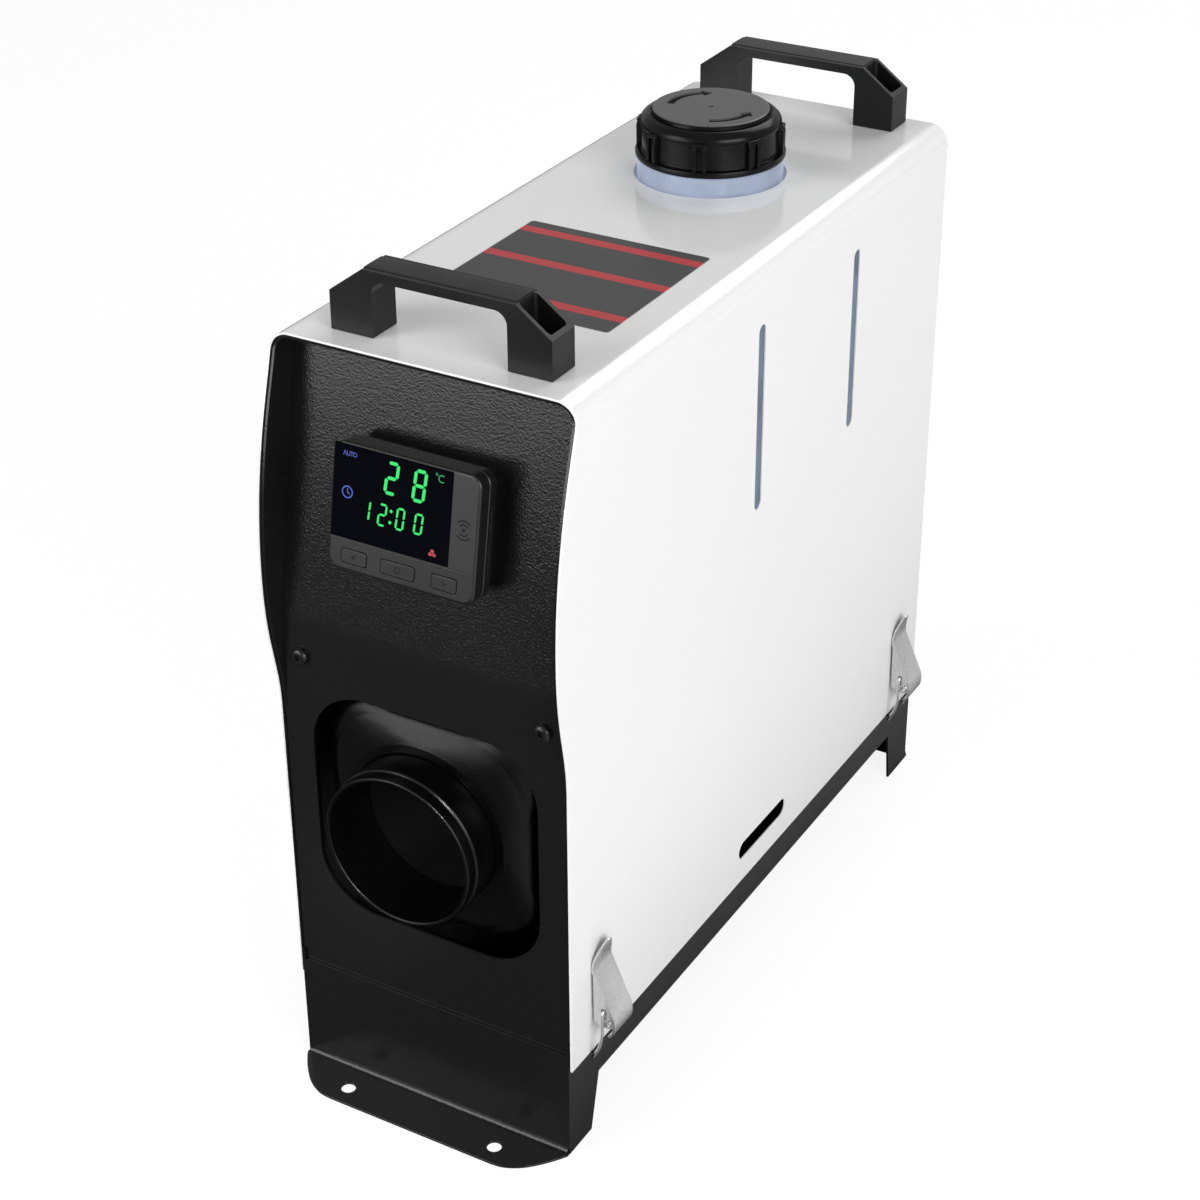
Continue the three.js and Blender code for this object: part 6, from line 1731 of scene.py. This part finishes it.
# ------------------------------------------------------------------------------------------
# Studio
# ------------------------------------------------------------------------------------------

CAMERA_AZIMUTH = math.radians(30.41)
CAMERA_ELEVATION = math.radians(29.65)
CAMERA_ROLL = math.radians(-0.47)
CAMERA_PLACE = (529.6, -945.4, 810.7)


def make_camera():
    data = bpy.data.cameras.new("camera")
    data.sensor_width = 36.0
    data.lens = 36.0 * 2530.3 / 1200.0
    data.shift_x = (600.0 - 588.0) / 1200.0
    data.shift_y = (574.6 - 600.0) / 1200.0
    camera = bpy.data.objects.new("camera", data)
    bpy.context.scene.collection.objects.link(camera)
    a, e, roll = CAMERA_AZIMUTH, CAMERA_ELEVATION, CAMERA_ROLL
    back = Vector((math.sin(a) * math.cos(e), -math.cos(a) * math.cos(e), math.sin(e)))
    right = Vector((0, 0, 1)).cross(back).normalized()
    up = back.cross(right)
    turned_right = right * math.cos(roll) + up * math.sin(roll)
    turned_up = up * math.cos(roll) - right * math.sin(roll)
    camera.matrix_world = Matrix(
        (
            (turned_right.x, turned_up.x, back.x, CAMERA_PLACE[0] * MM),
            (turned_right.y, turned_up.y, back.y, CAMERA_PLACE[1] * MM),
            (turned_right.z, turned_up.z, back.z, CAMERA_PLACE[2] * MM),
            (0, 0, 0, 1),
        )
    )
    bpy.context.scene.camera = camera


def make_lamp(name, place, target, size, power):
    data = bpy.data.lights.new(name, "AREA")
    data.shape = "RECTANGLE"
    data.size, data.size_y = size
    data.energy = power
    lamp = bpy.data.objects.new(name, data)
    lamp.location = place
    lamp.rotation_euler = (Vector(target) - Vector(place)).to_track_quat("-Z", "Y").to_euler()
    bpy.context.scene.collection.objects.link(lamp)


def make_duct_lamp():
    """Narrow lamp into the outlet, which lifts its inner wall a little out of the black."""
    data = bpy.data.lights.new("duct_lamp", "SPOT")
    data.energy = 60
    data.spot_size = math.radians(5.0)
    data.spot_blend = 0.35
    data.shadow_soft_size = 0.02
    lamp = bpy.data.objects.new("duct_lamp", data)
    lamp.location = (0.50, -0.95, 0.80)
    aim = Vector((0, -0.215, AXIS_Z * MM)) - Vector(lamp.location)
    lamp.rotation_euler = aim.to_track_quat("-Z", "Y").to_euler()
    bpy.context.scene.collection.objects.link(lamp)


def make_floor():
    """Pale floor: nearly white for the camera with a faint shadow; for the reflections and the bounce light it
    is lit by the lamps and has painted shade on its left half.
    """
    half = 6.0
    mesh = bpy.data.meshes.new("studio_floor")
    mesh.from_pydata(
        [(-half, -half, 0), (half, -half, 0), (half, half, 0), (-half, half, 0)], [], [(0, 1, 2, 3)]
    )
    floor = bpy.data.objects.new("studio_floor", mesh)
    bpy.context.scene.collection.objects.link(floor)
    material, tree, surface = empty_material("studio_floor", Roughness=0.9)
    surface["Specular IOR Level"].default_value = 0.0
    place = add_node(tree, "ShaderNodeTexCoord")
    axes = add_node(tree, "ShaderNodeSeparateXYZ", i0=place.outputs["Object"])
    # Painted shade: the floor's colour is dark on the left and pale on the right, for all rays but the
    # camera's.
    side = remap(tree, axes.outputs["X"], 0.02, 0.22)
    lit = tree.nodes["Principled BSDF"]
    tree.links.new(blend_colour(tree, side, grey(0.13), grey(0.8)), surface["Base Color"])
    seen = add_node(tree, "ShaderNodeBsdfDiffuse", Color=grey(0.16))
    glow = add_node(tree, "ShaderNodeEmission", Color=(1, 1, 1, 1), Strength=0.88)
    shown = tree.nodes.new("ShaderNodeAddShader")
    tree.links.new(seen.outputs[0], shown.inputs[0])
    tree.links.new(glow.outputs[0], shown.inputs[1])
    path = add_node(tree, "ShaderNodeLightPath")
    mixed = add_node(tree, "ShaderNodeMixShader", Fac=path.outputs["Is Camera Ray"])
    tree.links.new(lit.outputs[0], mixed.inputs[1])
    tree.links.new(shown.outputs[0], mixed.inputs[2])
    tree.links.new(mixed.outputs[0], tree.nodes["Material Output"].inputs["Surface"])
    mesh.materials.append(material)


def make_world():
    """White room for the camera and the reflections, dim for everything else."""
    world = bpy.data.worlds.new("studio")
    bpy.context.scene.world = world
    world.use_nodes = True
    tree = world.node_tree
    tree.nodes.clear()
    output = tree.nodes.new("ShaderNodeOutputWorld")
    lit = add_node(tree, "ShaderNodeBackground", Color=(1, 1, 1, 1), Strength=0.26)
    mirrored = add_node(tree, "ShaderNodeBackground", Color=(1, 1, 1, 1), Strength=0.5)
    seen = add_node(tree, "ShaderNodeBackground", Color=(1, 1, 1, 1), Strength=1.0)
    path = add_node(tree, "ShaderNodeLightPath")
    first = add_node(tree, "ShaderNodeMixShader", Fac=path.outputs["Is Glossy Ray"])
    tree.links.new(lit.outputs[0], first.inputs[1])
    tree.links.new(mirrored.outputs[0], first.inputs[2])
    second = add_node(tree, "ShaderNodeMixShader", Fac=path.outputs["Is Camera Ray"])
    tree.links.new(first.outputs[0], second.inputs[1])
    tree.links.new(seen.outputs[0], second.inputs[2])
    tree.links.new(second.outputs[0], output.inputs["Surface"])


make_camera()
make_floor()
make_world()
make_lamp("side_key", (3.0, -1.5, 1.5), (0, 0, 0.2), (2.4, 2.0), 96)
make_lamp("back_top", (0.15, 1.6, 1.9), (0, 0, 0.35), (1.6, 1.2), 17)
make_lamp("front_high", (-0.75, -1.15, 1.2), (0, -0.19, 0.2), (0.6, 0.5), 5)
make_duct_lamp()
make_lamp("front_left", (-0.8, -1.5, 0.62), (0, -0.19, 0.34), (1.3, 0.95), 15)


bpy.context.scene.view_settings.view_transform = "Standard"
